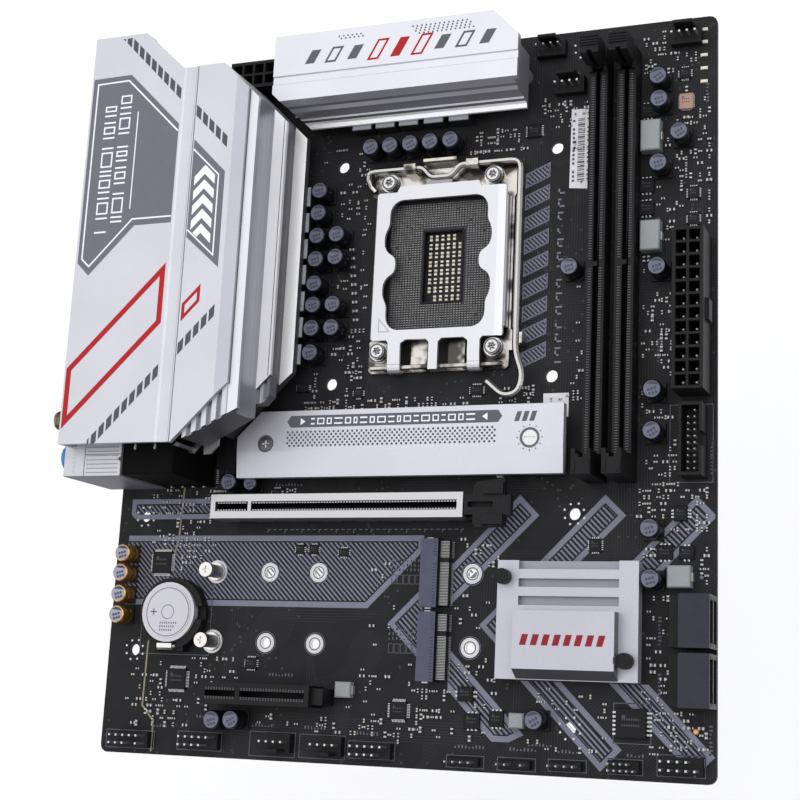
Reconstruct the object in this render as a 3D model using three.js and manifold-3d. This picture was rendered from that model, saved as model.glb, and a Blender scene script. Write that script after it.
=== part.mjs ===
// Micro-ATX motherboard, modelled as an assembly of separate pieces.
// Units: millimetres. +Z is up, out of the component side. The origin is the centre
// of the circuit board's underside. +X runs from the rear connector edge to the
// memory side, +Y runs from the expansion-slot end to the processor-power end.
//
// Inside this file every piece is given in board coordinates: x from the rear
// connector edge, y from the slot-end edge, h above the board's component side.
import * as THREE from 'three';
import { mergeVertices } from 'three/addons/utils/BufferGeometryUtils.js';
import Module from 'manifold-3d';

// ---------------------------------------------------------------- driving sizes
const BOARD_W = 210.0;            // board width, rear edge to memory edge
const BOARD_L = 243.84;           // board length, the micro-ATX 9.6 in
const BOARD_T = 1.6;              // laminate thickness
const SEAT = 0.1;                 // soldered parts stand this far off the board
const GAP = 0.3;                  // clearance between neighbouring pieces
const HOLE_R = 1.95;              // case standoff holes
const LAND = 0.04;                // plated land thickness round a hole
const HOLES = [[10.16, 80.01], [10.16, 34.29], [165.1, 80.01], [165.1, 14.4], [33.02, 237.49], [165.1, 237.49]];
const CPU = [117.4, 163.75];      // processor centre
const COOLER = 78.0;              // cooler hole square
const COOLER_R = 2.1;
const ILM_SCREWS = [[98.6, 193.4], [136.0, 193.4], [97.2, 134.2], [137.7, 134.2]];
const LEVER_Y = 198.2, LEVER_H = 4.5, ROD_R = 1.1;          // load lever pivot line
const PLATE_Y = 128.6, PLATE_H = 4.0;                       // load plate hinge line
const DIMM_X = [169.3, 178.85], DIMM_W = 6.1;               // two memory slots
const DIMM_LATCH_Y = 229.5, DIMM_LATCH_H = 4.5;             // latch hinge line
const X16_Y = 81.7, X4_Y = 20.74;                           // slot centre lines, three pitches of 20.32
const X16_LATCH_X = 134.0, X16_LATCH_H = 3.0;               // latch hinge line
const M2_ROWS = [103.1, 61.0, 37.75];                       // centre lines of the three drive slots
const M2_HOLE_42 = 77.9;                                    // 42 mm post position
const CELL = [25.1, 46.9], CELL_R = 10.0;                   // coin cell
const COVER_H = 38.0;                                       // rear cover's top
const TOP_HS_H = 25.0;                                      // top heatsink's top

// ---------------------------------------------------------------- solid helpers
const wasm = await Module();
wasm.setup();
function solid(g) {
  const s = g.index ? g.toNonIndexed() : g;
  for (const k of Object.keys(s.attributes)) if (k !== 'position') s.deleteAttribute(k);
  const m = mergeVertices(s, 1e-4);
  return new wasm.Manifold(new wasm.Mesh({
    numProp: 3,
    vertProperties: new Float32Array(m.attributes.position.array),
    triVerts: new Uint32Array(m.index.array),
  }));
}
function geometry(m) {
  const r = m.getMesh();
  const g = new THREE.BufferGeometry();
  g.setAttribute('position', new THREE.BufferAttribute(new Float32Array(r.vertProperties), 3));
  g.setIndex(new THREE.BufferAttribute(new Uint32Array(r.triVerts), 1));
  g.computeVertexNormals();
  return g;
}
const join = (...a) => a.flat().reduce((p, q) => p.add(q));
const cut = (a, ...b) => b.flat().reduce((p, q) => p.subtract(q), a);
// straight-sided block
function box(x0, x1, y0, y1, z0, z1) {
  const g = new THREE.BoxGeometry(x1 - x0, y1 - y0, z1 - z0);
  g.translate((x0 + x1) / 2, (y0 + y1) / 2, (z0 + z1) / 2);
  return solid(g);
}
// outline in x and y, raised from z0 to z1
const Y_UP = new THREE.Matrix4().makeBasis(new THREE.Vector3(0, 1, 0), new THREE.Vector3(0, 0, 1), new THREE.Vector3(1, 0, 0));
const Y_IN = new THREE.Matrix4().makeBasis(new THREE.Vector3(1, 0, 0), new THREE.Vector3(0, 0, 1), new THREE.Vector3(0, -1, 0));
function raised(pts, depth) {
  const shape = new THREE.Shape(pts.map((p) => new THREE.Vector2(p[0], p[1])));
  return new THREE.ExtrudeGeometry(shape, { depth, bevelEnabled: false });
}
function prism(pts, z0, z1, holes = []) {
  const g = raised(pts, z1 - z0);
  g.translate(0, 0, z0);
  return holes.reduce((m, h) => m.subtract(prism(h, z0 - 1, z1 + 1)), solid(g));
}
// section in y and h, run along x
function alongX(pts, x0, x1, holes = []) {
  const g = raised(pts, x1 - x0);
  g.applyMatrix4(Y_UP);
  g.translate(x0, 0, 0);
  return holes.reduce((m, h) => m.subtract(alongX(h, x0 - 1, x1 + 1)), solid(g));
}
// section in x and h, run along y
function alongY(pts, y0, y1, holes = []) {
  const g = raised(pts, y1 - y0);
  g.applyMatrix4(Y_IN);
  g.translate(0, y1, 0);
  return holes.reduce((m, h) => m.subtract(alongY(h, y0 - 1, y1 + 1)), solid(g));
}
const ring = (x, y, r, n) => Array.from({ length: n }, (_, i) => {
  const a = (2 * Math.PI * (i + 0.5)) / n;
  return [x + r * Math.cos(a), y + r * Math.sin(a)];
});
const post = (x, y, r, z0, z1, n = 16) => prism(ring(x, y, r, n), z0, z1);
const barX = (y, h, r, x0, x1, n = 12) => alongX(ring(y, h, r, n), x0, x1);
function roundRect(x0, x1, y0, y1, r, n = 4) {
  const p = [];
  for (const [cx, cy, a0] of [[x1 - r, y1 - r, 0], [x0 + r, y1 - r, 90], [x0 + r, y0 + r, 180], [x1 - r, y0 + r, 270]])
    for (let i = 0; i <= n; i++) {
      const a = ((a0 + (90 * i) / n) * Math.PI) / 180;
      p.push([cx + r * Math.cos(a), cy + r * Math.sin(a)]);
    }
  return p;
}

// ---------------------------------------------------------------- scene
const root = new THREE.Group();
root.name = 'motherboard';
const board = new THREE.Group();
board.position.set(-BOARD_W / 2, -BOARD_L / 2, BOARD_T);
root.add(board);
const MAT = {
  laminate: [0x202124, 0.75, 0.0], black: [0x17181a, 0.55, 0.0], slate: [0x4b4d5c, 0.6, 0.0],
  silver: [0xd6d8df, 0.42, 0.85], nickel: [0xcfcbc2, 0.28, 0.95], steel: [0xdcdcdc, 0.25, 0.95],
  zinc: [0xa9a9ab, 0.4, 0.9], gold: [0xc9a45a, 0.3, 0.95], cell: [0xd2d0d8, 0.3, 0.95], chip: [0x2a2b2e, 0.6, 0.0],
};
function put(name, m, mat, at = [0, 0, 0]) {
  const [c, r, k] = MAT[mat];
  const mesh = new THREE.Mesh(geometry(m), new THREE.MeshStandardMaterial({ color: c, roughness: r, metalness: k }));
  mesh.name = name;
  mesh.position.set(...at);
  board.add(mesh);
}

// ---------------------------------------------------------------- circuit board
{
  const c = COOLER / 2;
  const cooler = [[-c, -c], [c, -c], [c, c], [-c, c]].map(([a, b]) => [CPU[0] + a, CPU[1] + b]);
  const posts = [];
  for (const y of M2_ROWS.slice(1)) posts.push([M2_HOLE_42, y], [M2_HOLE_42 - 18, y], [M2_HOLE_42 - 38, y], [131.9, y]);
  posts.push([59.6, M2_ROWS[0]], [152.5, M2_ROWS[0]]);
  const holes = [
    ...HOLES.map(([x, y]) => ring(x, y, HOLE_R, 16)),
    ...cooler.map(([x, y]) => ring(x, y, COOLER_R, 16)),
    ...ILM_SCREWS.map(([x, y]) => ring(x, y, 2.0, 12)),
    ...posts.map(([x, y]) => ring(x, y, 1.7, 12)),
    ring(145.0, 59.5, 1.6, 12), ring(184.2, 34.6, 1.6, 12),
  ];
  let b = prism(roundRect(0, BOARD_W, 0, BOARD_L, 2.6), -BOARD_T, 0, holes);
  // plated lands: under the board at the standoff holes, on top at the cooler holes
  b = join(b, HOLES.map(([x, y]) => prism(ring(x, y, 4.2, 16), -BOARD_T - LAND, -BOARD_T + 0.2, [ring(x, y, HOLE_R, 16)])));
  b = join(b, cooler.map(([x, y]) => prism(ring(x, y, 4.0, 16), -0.2, LAND, [ring(x, y, COOLER_R, 16)])));
  // shallow outline of the label field in the middle of the underside
  const f = (k) => [[BOARD_W / 2 - k, BOARD_L / 2 - k], [BOARD_W / 2 + k, BOARD_L / 2 - k], [BOARD_W / 2 + k, BOARD_L / 2 + k], [BOARD_W / 2 - k, BOARD_L / 2 + k]];
  b = cut(b, prism(f(7.3), -BOARD_T - 1, -BOARD_T + 0.06, [f(6.8)]));
  put('pcb', b, 'laminate');
}

// ---------------------------------------------------------------- processor socket
{
  // stiffening plate under the board, an open frame held by the four load-frame screws
  const bp = [[95.5, 129.6], [139.5, 129.6], [143.2, 133.3], [143.2, 194.2], [139.5, 197.9], [95.5, 197.9], [91.8, 194.2], [91.8, 133.3]];
  put('socket_backplate', prism(bp, -BOARD_T - GAP - 2.1, -BOARD_T - GAP,
    [roundRect(102, 133, 146, 181.5, 3, 3), ...ILM_SCREWS.map(([x, y]) => ring(x, y, 1.8, 12))]), 'zinc');

  // contact housing: a rim round a sunken contact field with an open middle
  const [cx, cy] = CPU;
  let s = prism(roundRect(cx - 20.2, cx + 20.2, cy - 24.6, cy + 24.6, 1.2, 2), SEAT, 3.4);
  s = cut(s, box(cx - 18.9, cx + 18.9, cy - 22.7, cy + 22.7, 2.1, 4), box(cx - 6.3, cx + 7.7, cy - 12.6, cy + 11.9, -1, 4));
  s = cut(s, box(cx - 21, cx - 18, cy + 7.5, cy + 10.5, 2.6, 4), box(cx + 18, cx + 21, cy + 7.5, cy + 10.5, 2.6, 4));
  put('cpu_socket', s, 'chip');

  // load frame: sheet ring with screw ears, lever lugs, a rear stop flange and the hinge rail
  const outer = [[93.6, 127.4], [141.2, 127.4], [142.2, 128.4], [142.2, 133.6], [144.8, 133.6], [144.8, 139.6], [142.6, 140.6], [142.6, 186.4], [143.6, 188], [143.6, 196.6], [141, 199.9], [93, 199.9], [91.2, 198], [91.2, 190], [94.8, 188], [94.8, 139.8], [92.6, 138.2], [92.6, 128.4]];
  let f = prism(outer, 0.4, 1.7, [roundRect(cx - 20.6, cx + 20.6, cy - 25.0, cy + 25.0, 1.2, 2), ...ILM_SCREWS.map(([x, y]) => ring(x, y, 2.0, 12))]);
  // windows in the band behind the hinge rail
  f = cut(f, box(101.6, 107.9, 129.9, 137.4, 0, 3), box(113.7, 121.1, 129.9, 137.4, 0, 3), box(126.9, 133.2, 129.9, 137.4, 0, 3));
  const ears = ILM_SCREWS.map(([x, y]) => cut(post(x, y, 3.7, 1.2, 3.7, 16), post(x, y, 2.0, 0, 5, 12)));
  f = join(f, ears);
  // lever lugs with a running bore for the rod
  for (const x of [103.9, 126.5]) {
    const lug = cut(alongX([[196, 1.2], [200.4, 1.2], [200.4, 5.4], [199.3, 6.5], [197.1, 6.5], [196, 5.4]], x, x + 4.2), barX(LEVER_Y, LEVER_H, ROD_R + 0.3, x - 1, x + 6, 16));
    f = join(f, lug);
  }
  // rear stop flange behind the lever's crank
  f = join(f, alongX([[199.2, 1.2], [201.0, 3.2], [201.0, 5.4], [200.0, 5.4], [200.0, 3.4], [197.9, 1.2]], 110.6, 122.6));
  // hinge rail with three feet
  f = join(f, barX(PLATE_Y, PLATE_H, 0.85, 94.5, 141, 10));
  for (const [a, b] of [[94.5, 98.5], [108.2, 113.4], [121.4, 126.6], [137, 141]]) f = join(f, alongX([[127.9, 1.2], [129.3, 1.2], [129.2, 4.2], [128.0, 4.2]], a, b));
  // lever cradle at the latching side, with an outer ear
  f = join(f, alongY([[143.6, 0.4], [147.9, 0.4], [147.9, 5.8], [146.9, 5.8], [146.7, 3.1], [143.6, 1.7]], 134.8, 138.4));
  put('ilm_frame', f, 'nickel');

  // load plate: window with a pinched waist, side flanges, centre tongue and two hinge hooks
  const half = [[0, 22.9], [13.2, 22.8], [14.6, 22.45], [15.8, 21.75], [16.8, 20.6], [17.4, 19.2], [17.6, 17.6], [17.6, 14.8], [17.9, 13.5], [18.6, 12.0], [19.1, 10.4], [19.2, 8.4], [19.0, 6.6], [18.4, 5.2], [17.4, 4.1], [16.2, 3.3], [15.4, 2.5], [15.0, 1.4], [14.9, 0]];
  const q = half.slice(1);
  const win = [
    ...q.map(([a, b]) => [cx + a, cy + b]),
    ...q.slice(0, -1).reverse().map(([a, b]) => [cx + a, cy - b]),
    ...q.map(([a, b]) => [cx - a, cy - b]),
    ...q.slice(0, -1).reverse().map(([a, b]) => [cx - a, cy + b]),
  ].reverse();
  const plateOut = [[94.4, 138.6], [95.6, 137.6], [100.6, 137.6], [101.2, 136.6], [101.2, 134.4], [105.6, 134.4], [105.6, 136.4], [107.4, 137.6], [114.6, 137.6], [115.8, 136.4], [115.8, 127.2], [119.0, 127.2], [119.0, 136.4], [120.2, 137.6], [127.8, 137.6], [129.4, 136.4], [129.4, 134.4], [133.6, 134.4], [133.6, 136.6], [134.4, 137.6], [140.6, 137.6], [141.8, 138.6], [141.8, 188.2], [140.6, 189.4], [132.4, 189.4], [131.4, 191.4], [103.0, 191.4], [102.0, 189.4], [95.6, 189.4], [94.4, 188.2]];
  let p = prism(plateOut, 5.2, 6.4, [win]);
  // side flanges turned down outside the contact housing
  for (const [a, b] of [[94.4, 95.5], [140.7, 141.8]]) p = join(p, box(a, b, 141, 186, 2.3, 6.0));
  // the long edges are folded over a soft bend
  p = p.intersect(alongY([[94.4, 0], [94.4, 5.9], [94.9, 6.4], [138.4, 6.4], [139.8, 6.15], [140.9, 5.6], [141.5, 4.9], [141.8, 4.1], [141.8, 0]], 120, 200));
  // lip at the far edge that the crank bears on
  p = join(p, alongX([[190.6, 5.2], [190.6, 6.4], [193.0, 5.5], [193.0, 4.5]], 112.6, 121.2));
  // hooks curled round the hinge rail
  for (const [a, b] of [[101.2, 105.6], [129.4, 133.6]]) {
    const arc = [];
    for (let i = 0; i <= 9; i++) { const t = ((72 + (235 * i) / 9) * Math.PI) / 180; arc.push([PLATE_Y + 2.15 * Math.cos(t), PLATE_H + 2.15 * Math.sin(t)]); }
    for (let i = 9; i >= 0; i--) { const t = ((72 + (235 * i) / 9) * Math.PI) / 180; arc.push([PLATE_Y + 1.2 * Math.cos(t), PLATE_H + 1.2 * Math.sin(t)]); }
    p = join(p, alongX(arc, a, b), alongX([[128.7, 5.25], [129.4, 6.1], [132.5, 6.4], [136.5, 6.4], [136.5, 5.2], [132.5, 5.2]], a, b));
  }
  put('load_plate', p, 'steel');

  // load lever: one bent rod, pivot line, crank, arm and hooked handle
  const path = new THREE.CurvePath();
  const corner = [[92.2, 198.2], [110.2, 198.2], [113.4, 194.4], [120.6, 194.4], [123.8, 198.2], [145.3, 198.2], [145.3, 131.5], [148.2, 124.6], [146.4, 118.6], [141.4, 117.9], [135.9, 122.8]];
  const rad = [0, 1.6, 1.6, 1.6, 1.6, 3.2, 4, 3.4, 2.6, 2.4, 0];
  let prev = new THREE.Vector3(corner[0][0], corner[0][1], LEVER_H);
  for (let i = 1; i < corner.length; i++) {
    const a = new THREE.Vector3(corner[i - 1][0], corner[i - 1][1], LEVER_H);
    const b = new THREE.Vector3(corner[i][0], corner[i][1], LEVER_H);
    const r = rad[i];
    const end = b.clone().add(a.clone().sub(b).setLength(r || 1e-9));
    path.add(new THREE.LineCurve3(prev, r ? end : b));
    if (r) {
      const c = new THREE.Vector3(corner[i + 1][0], corner[i + 1][1], LEVER_H);
      const out = b.clone().add(c.clone().sub(b).setLength(r));
      path.add(new THREE.QuadraticBezierCurve3(end, b, out));
      prev = out;
    }
  }
  const samples = [];
  for (const cv of path.curves) {
    const n = cv.isLineCurve3 ? 1 : 4;
    for (let i = samples.length ? 1 : 0; i <= n; i++) samples.push(cv.getPoint(i / n));
  }
  // swept by hand so that each ring stays square to its own stretch of rod
  const seg = 8, pos = [], idx = [];
  samples.forEach((c, i) => {
    const t = new THREE.Vector3();
    if (i > 0) t.add(c.clone().sub(samples[i - 1]).normalize());
    if (i < samples.length - 1) t.add(samples[i + 1].clone().sub(c).normalize());
    t.normalize();
    const side = new THREE.Vector3(0, 0, 1).cross(t).normalize();
    let k = 1;
    if (i > 0 && i < samples.length - 1) k = 1 / Math.max(0.5, c.clone().sub(samples[i - 1]).normalize().dot(t));
    for (let j = 0; j < seg; j++) {
      const a = (2 * Math.PI * (j + 0.5)) / seg;
      pos.push(c.x + side.x * ROD_R * k * Math.cos(a), c.y + side.y * ROD_R * k * Math.cos(a), c.z + ROD_R * Math.sin(a));
    }
  });
  const N = samples.length;
  for (let i = 0; i < N - 1; i++) for (let j = 0; j < seg; j++) {
    const a = i * seg + j, b = i * seg + ((j + 1) % seg), c = a + seg, d = b + seg;
    idx.push(a, c, b, b, c, d);
  }
  for (let j = 1; j < seg - 1; j++) { idx.push(0, j, j + 1); const e = (N - 1) * seg; idx.push(e, e + j + 1, e + j); }
  const lg = new THREE.BufferGeometry();
  lg.setAttribute('position', new THREE.BufferAttribute(new Float32Array(pos), 3));
  lg.setIndex(idx);
  let lever = new wasm.Manifold(new wasm.Mesh({ numProp: 3, vertProperties: new Float32Array(pos), triVerts: new Uint32Array(idx) }));
  if (lever.volume() < 0) {
    for (let i = 0; i < idx.length; i += 3) [idx[i + 1], idx[i + 2]] = [idx[i + 2], idx[i + 1]];
    lever = new wasm.Manifold(new wasm.Mesh({ numProp: 3, vertProperties: new Float32Array(pos), triVerts: new Uint32Array(idx) }));
  }
  put('load_lever', lever, 'nickel');

  // four screws through ear, board and stiffening plate, star drive in the head
  ILM_SCREWS.forEach(([x, y], i) => {
    let m = join(post(0, 0, 1.5, -4.1, 4.4, 12), post(0, 0, 3.2, 4.0, 4.6, 16), post(0, 0, 2.7, 4.4, 6.1, 16));
    m = cut(m, prism(Array.from({ length: 12 }, (_, k) => { const a = (Math.PI * k) / 6, r = k % 2 ? 0.95 : 1.45; return [r * Math.cos(a), r * Math.sin(a)]; }), 4.9, 7));
    put(`ilm_screw_${i + 1}`, m, 'steel', [x, y, 0]);
  });
}

// ---------------------------------------------------------------- rear cover and heatsinks
{
  // cover over the rear connectors: flat top with a notch and a fluted band, thin skirt
  const o = [[-2.8, 99.2], [39.3, 99.2], [39.3, 229.6], [33.4, 229.6], [17.6, 244.4], [-2.8, 244.4]];
  let c = prism(o, COVER_H - 1.9, COVER_H);
  // skirt over the connectors' front, a shallow stiffening lip at both ends and along the heatsink
  c = join(c, box(-2.8, -1.3, 99.2, 244.4, COVER_H - 6.8, COVER_H - 1));
  c = join(c, box(-2.8, 17.6, 242.9, 244.4, COVER_H - 6.8, COVER_H - 1), box(37.8, 39.3, 100.6, 229.6, COVER_H - 4.2, COVER_H - 1));
  // fluted band along the inner side
  c = cut(c, alongY([[34.0, COVER_H + 1], [34.0, COVER_H], [34.7, COVER_H - 0.35], [36.6, COVER_H - 0.45], [38.5, COVER_H - 0.35], [38.9, COVER_H], [38.9, COVER_H + 1]], 90, 250));
  // four legs down to the board
  c = join(c, [[35.4, 103.6], [35.4, 223.6], [26.6, 150.4], [26.6, 196.4]].map(([x, y]) => post(x, y, 2.3, SEAT, COVER_H - 1.6, 12)));
  put('io_cover', c, 'silver');

  // left regulator heatsink: a long section in layers. A flat plate lies over a block that stands out
  // past the plate on two sides, a second, narrower step sits lower down, and a flange lies over the
  // chokes. Each layer has its own bias cut at the slot end; they share one at the far end.
  const far = [[68.4, 210.6], [49.3, 229.7], [30, 229.7]];
  const layer = (prof, near) => alongY(prof, 90, 236).intersect(prism([...near, ...far], 0, 45));
  const bias = [[30, 89.3], [39.6, 98.9], [68.4, 127.7]];
  let l = layer([[39.6, 38], [54.6, 38], [58.9, 37.3], [58.9, 36.2], [39.6, 36.2]], bias);
  // upper block, its outer side a shallow cove
  let up = layer([[43.2, 36.4], [58.6, 36.4], [58.8, 36.0], [62.3, 35.9], [62.3, 34.6], [60.9, 33.6], [60.3, 31.6], [60.2, 28], [60.2, 25], [60.5, 22.8], [61.2, 20.9], [46.0, 20.0], [43.2, 21.4]],
    [[30, 94], [43.2, 100.5], [62.3, 110.0], [68.4, 113.0]]);
  // flutes along its top, open where the plate stops short
  up = cut(up, [[44.6, 46.4], [48.1, 49.9], [51.6, 53.4], [55.1, 56.9]].map(([a, b]) => box(a, b, 95, 116, 35.2, 36.8)));
  // lower step: plate, block with flutes, web and flange
  const lowPlate = layer([[60.4, 21.4], [65.9, 21.3], [65.9, 19.8], [60.4, 19.8]], [[30, 88.1], [58.5, 116.6], [68.4, 126.5]]);
  let low = layer([[46.0, 20.1], [65.4, 20.1], [65.4, 15.0], [46.0, 15.0]], [[30, 98], [46, 108], [55.4, 114.6], [62.7, 114.6], [68.4, 120.3]]);
  low = cut(low, [[58.6, 59.8], [61.0, 62.0], [63.2, 64.3]].map(([a, b]) => box(a, b, 112, 126, 19.2, 20.3)));
  const web = layer([[46.0, 20.0], [63.6, 20.0], [63.6, 9.0], [46.0, 9.0]], bias);
  const flange = layer([[46.0, 9.6], [63.6, 9.8], [68.0, 9.2], [68.0, 6.4], [46.0, 6.4]], bias);
  l = join(l, up, lowPlate, low, web, flange);
  // screw bosses down to the board
  l = join(l, [[49.6, 116.4], [49.6, 220.6]].map(([x, y]) => post(x, y, 2.8, SEAT, 7, 12)));
  put('vrm_heatsink_left', l, 'silver');

  // top regulator heatsink: flat top with two fine steps, coved front, two ledges, one bias end; the top
  // stands out a little past the body at the open end
  const tp = [[243.2, 25], [228.4, 25], [228.1, 24.5], [225.6, 24.5], [225.2, 25], [219.2, 25], [219.2, 19.2], [218.8, 18.1], [217.6, 17.3], [217.6, 11.3], [217.0, 11.0], [217.0, 8.9], [216.5, 8.0], [215.2, 7.4], [215.2, 6.4], [243.2, 6.4]];
  let t = alongX(tp, 60, 151);
  t = t.intersect(join(prism([[61.3, 222.2], [64.4, 219.1], [149.8, 219.1], [149.8, 234.2], [140.9, 243.3], [61.3, 243.3]], 22.2, 30),
    prism([[61.3, 222.2], [68.5, 215.0], [147.8, 215.0], [147.8, 234.2], [138.9, 243.3], [61.3, 243.3]], 0, 22.4)));
  t = join(t, [[66.8, 231.5], [144.6, 229.0]].map(([x, y]) => post(x, y, 2.8, SEAT, 7, 12)));
  put('vrm_heatsink_top', t, 'silver');

  // chipset package and its heatsink with two push pins
  put('chipset', join(box(152, 178, 38, 59, SEAT, 1.2), box(159.5, 170.5, 44, 53, 1.0, 2.1)), 'chip');
  let h = prism([[142.7, 28.4], [187.7, 28.4], [187.7, 64.7], [142.7, 64.7]], 2.4, 7.0);
  h = join(h, prism([[149.6, 31.4], [181.6, 31.4], [181.6, 49.0], [149.6, 49.0]], 6, 12));
  h = join(h, alongX([[28.45, 6.8], [31.5, 12], [31.6, 6]], 149.6, 181.6));
  h = cut(h, alongX([[62.0, 9], [62.0, 4.6], [65.2, 4.6], [65.2, 9]], 149.6, 181.6), alongX([[56.5, 9], [56.5, 4.6], [59.1, 4.6], [59.1, 9]], 149.6, 181.6), alongX([[50.9, 9], [50.9, 4.6], [53.7, 4.6], [53.7, 9]], 149.6, 181.6));
  h = cut(h, post(145.0, 59.5, 1.9, 0, 9, 12), post(184.2, 34.6, 1.9, 0, 9, 12), post(184.2, 34.6, 3.0, 7.0, 14, 16));
  put('chipset_heatsink', h, 'silver');
  [[145.0, 59.5], [184.2, 34.6]].forEach(([x, y], i) => put(`push_pin_${i + 1}`, join(post(0, 0, 1.3, -1.5, 8, 12), post(0, 0, 2.45, 7.3, 10.6, 16)), 'black', [x, y, 0]));
}

// ---------------------------------------------------------------- memory slots
DIMM_X.forEach((x0, i) => {
  const x1 = x0 + DIMM_W, m = (x0 + x1) / 2;
  let s = box(x0, x1, 97.0, 224.8, SEAT, 8.0);
  // fixed guide tower, and the two low cheeks that carry the latch
  s = join(s, box(x0, x1, 89.5, 97.2, SEAT, 20.2));
  s = join(s, box(x0, x0 + 1.2, 224.6, 233.0, SEAT, 9.0), box(x1 - 1.2, x1, 224.6, 233.0, SEAT, 9.0), box(x0, x1, 224.6, 233.0, SEAT, 1.2));
  // module groove with its key, and the groove up the tower
  s = cut(s, box(m - 0.75, m + 0.75, 94.6, 158.4, 3.0, 30), box(m - 0.75, m + 0.75, 159.9, 225.5, 3.0, 30));
  s = cut(s, box(m - 1.7, m + 1.7, 95.6, 98, 9.5, 30));
  put(`dimm_slot_${i + 1}`, s, 'black');
  // latch: narrow foot between the cheeks, wide ribbed head
  let l = join(box(x0 + 1.5, x1 - 1.5, 226.2, 232.2, 2.8, 11.6), alongX([[226.0, 11], [232.6, 11], [233.0, 16.5], [232.4, 20.9], [229.0, 20.9], [228.9, 20.3], [226.6, 20.1], [226.0, 17]], x0, x1));
  l = cut(l, box(m - 0.8, m + 0.8, 225, 227.4, 8, 30));
  for (const y of [229.4, 230.4, 231.4]) l = cut(l, box(x0 - 1, x1 + 1, y, y + 0.45, 20.5, 22));
  put(`dimm_latch_${i + 1}`, l, 'black');
});

// ---------------------------------------------------------------- power and data connectors
{
  const cells = (x0, y0, nx, ny, pitch, z0, z1, a) => {
    const r = [];
    for (let i = 0; i < nx; i++) for (let j = 0; j < ny; j++) {
      const x = x0 + i * pitch, y = y0 + j * pitch;
      r.push(box(x - a, x + a, y - a, y + a, z0, z1));
    }
    return r;
  };
  // 24-way supply header with a latch ramp on the outer side
  let a = box(198.4, 208.2, 116.4, 167.8, SEAT, 13);
  a = cut(a, cells(201.2, 119.0, 2, 12, 4.2, 3.5, 14, 1.7));
  a = join(a, alongY([[208.0, 4.0], [209.3, 4.6], [209.3, 9.2], [208.0, 10.6]], 138.6, 145.4));
  put('atx_connector', a, 'black');
  // 8-way processor supply header
  let e = box(37.9, 56.0, 231.0, 241.0, SEAT, 13);
  e = cut(e, cells(40.65, 233.9, 4, 2, 4.2, 3.5, 14, 1.7));
  e = join(e, alongX([[240.8, 4.0], [242.2, 4.6], [242.2, 9.2], [240.8, 10.6]], 43.8, 50.2));
  put('eps_connector', e, 'black');
  // boxed 19-way header
  let u = box(199.9, 207.1, 90.4, 113.0, SEAT, 9.2);
  u = cut(u, box(200.8, 206.2, 91.4, 112.0, 2.2, 10), box(206, 208, 99.4, 104, 3.4, 10));
  put('usb3_header', u, 'black');
  // two stacked drive connector blocks, each with two ports opening at the board's edge
  [[38.9, 54.7], [21.6, 37.4]].forEach(([y0, y1], i) => {
    let s = box(200.8, 210.1, y0, y1, SEAT, 12.0);
    s = join(s, box(196.9, 201.2, y0 + 0.3, y1 - 0.3, SEAT, 6.4));
    s = cut(s, box(204.6, 213, y0 + 1.6, y1 - 1.6, 0.9, 5.4), box(204.6, 213, y0 + 1.6, y1 - 1.6, 6.7, 11.2));
    put(`sata_block_${i + 1}`, s, 'black');
  });
}

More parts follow.
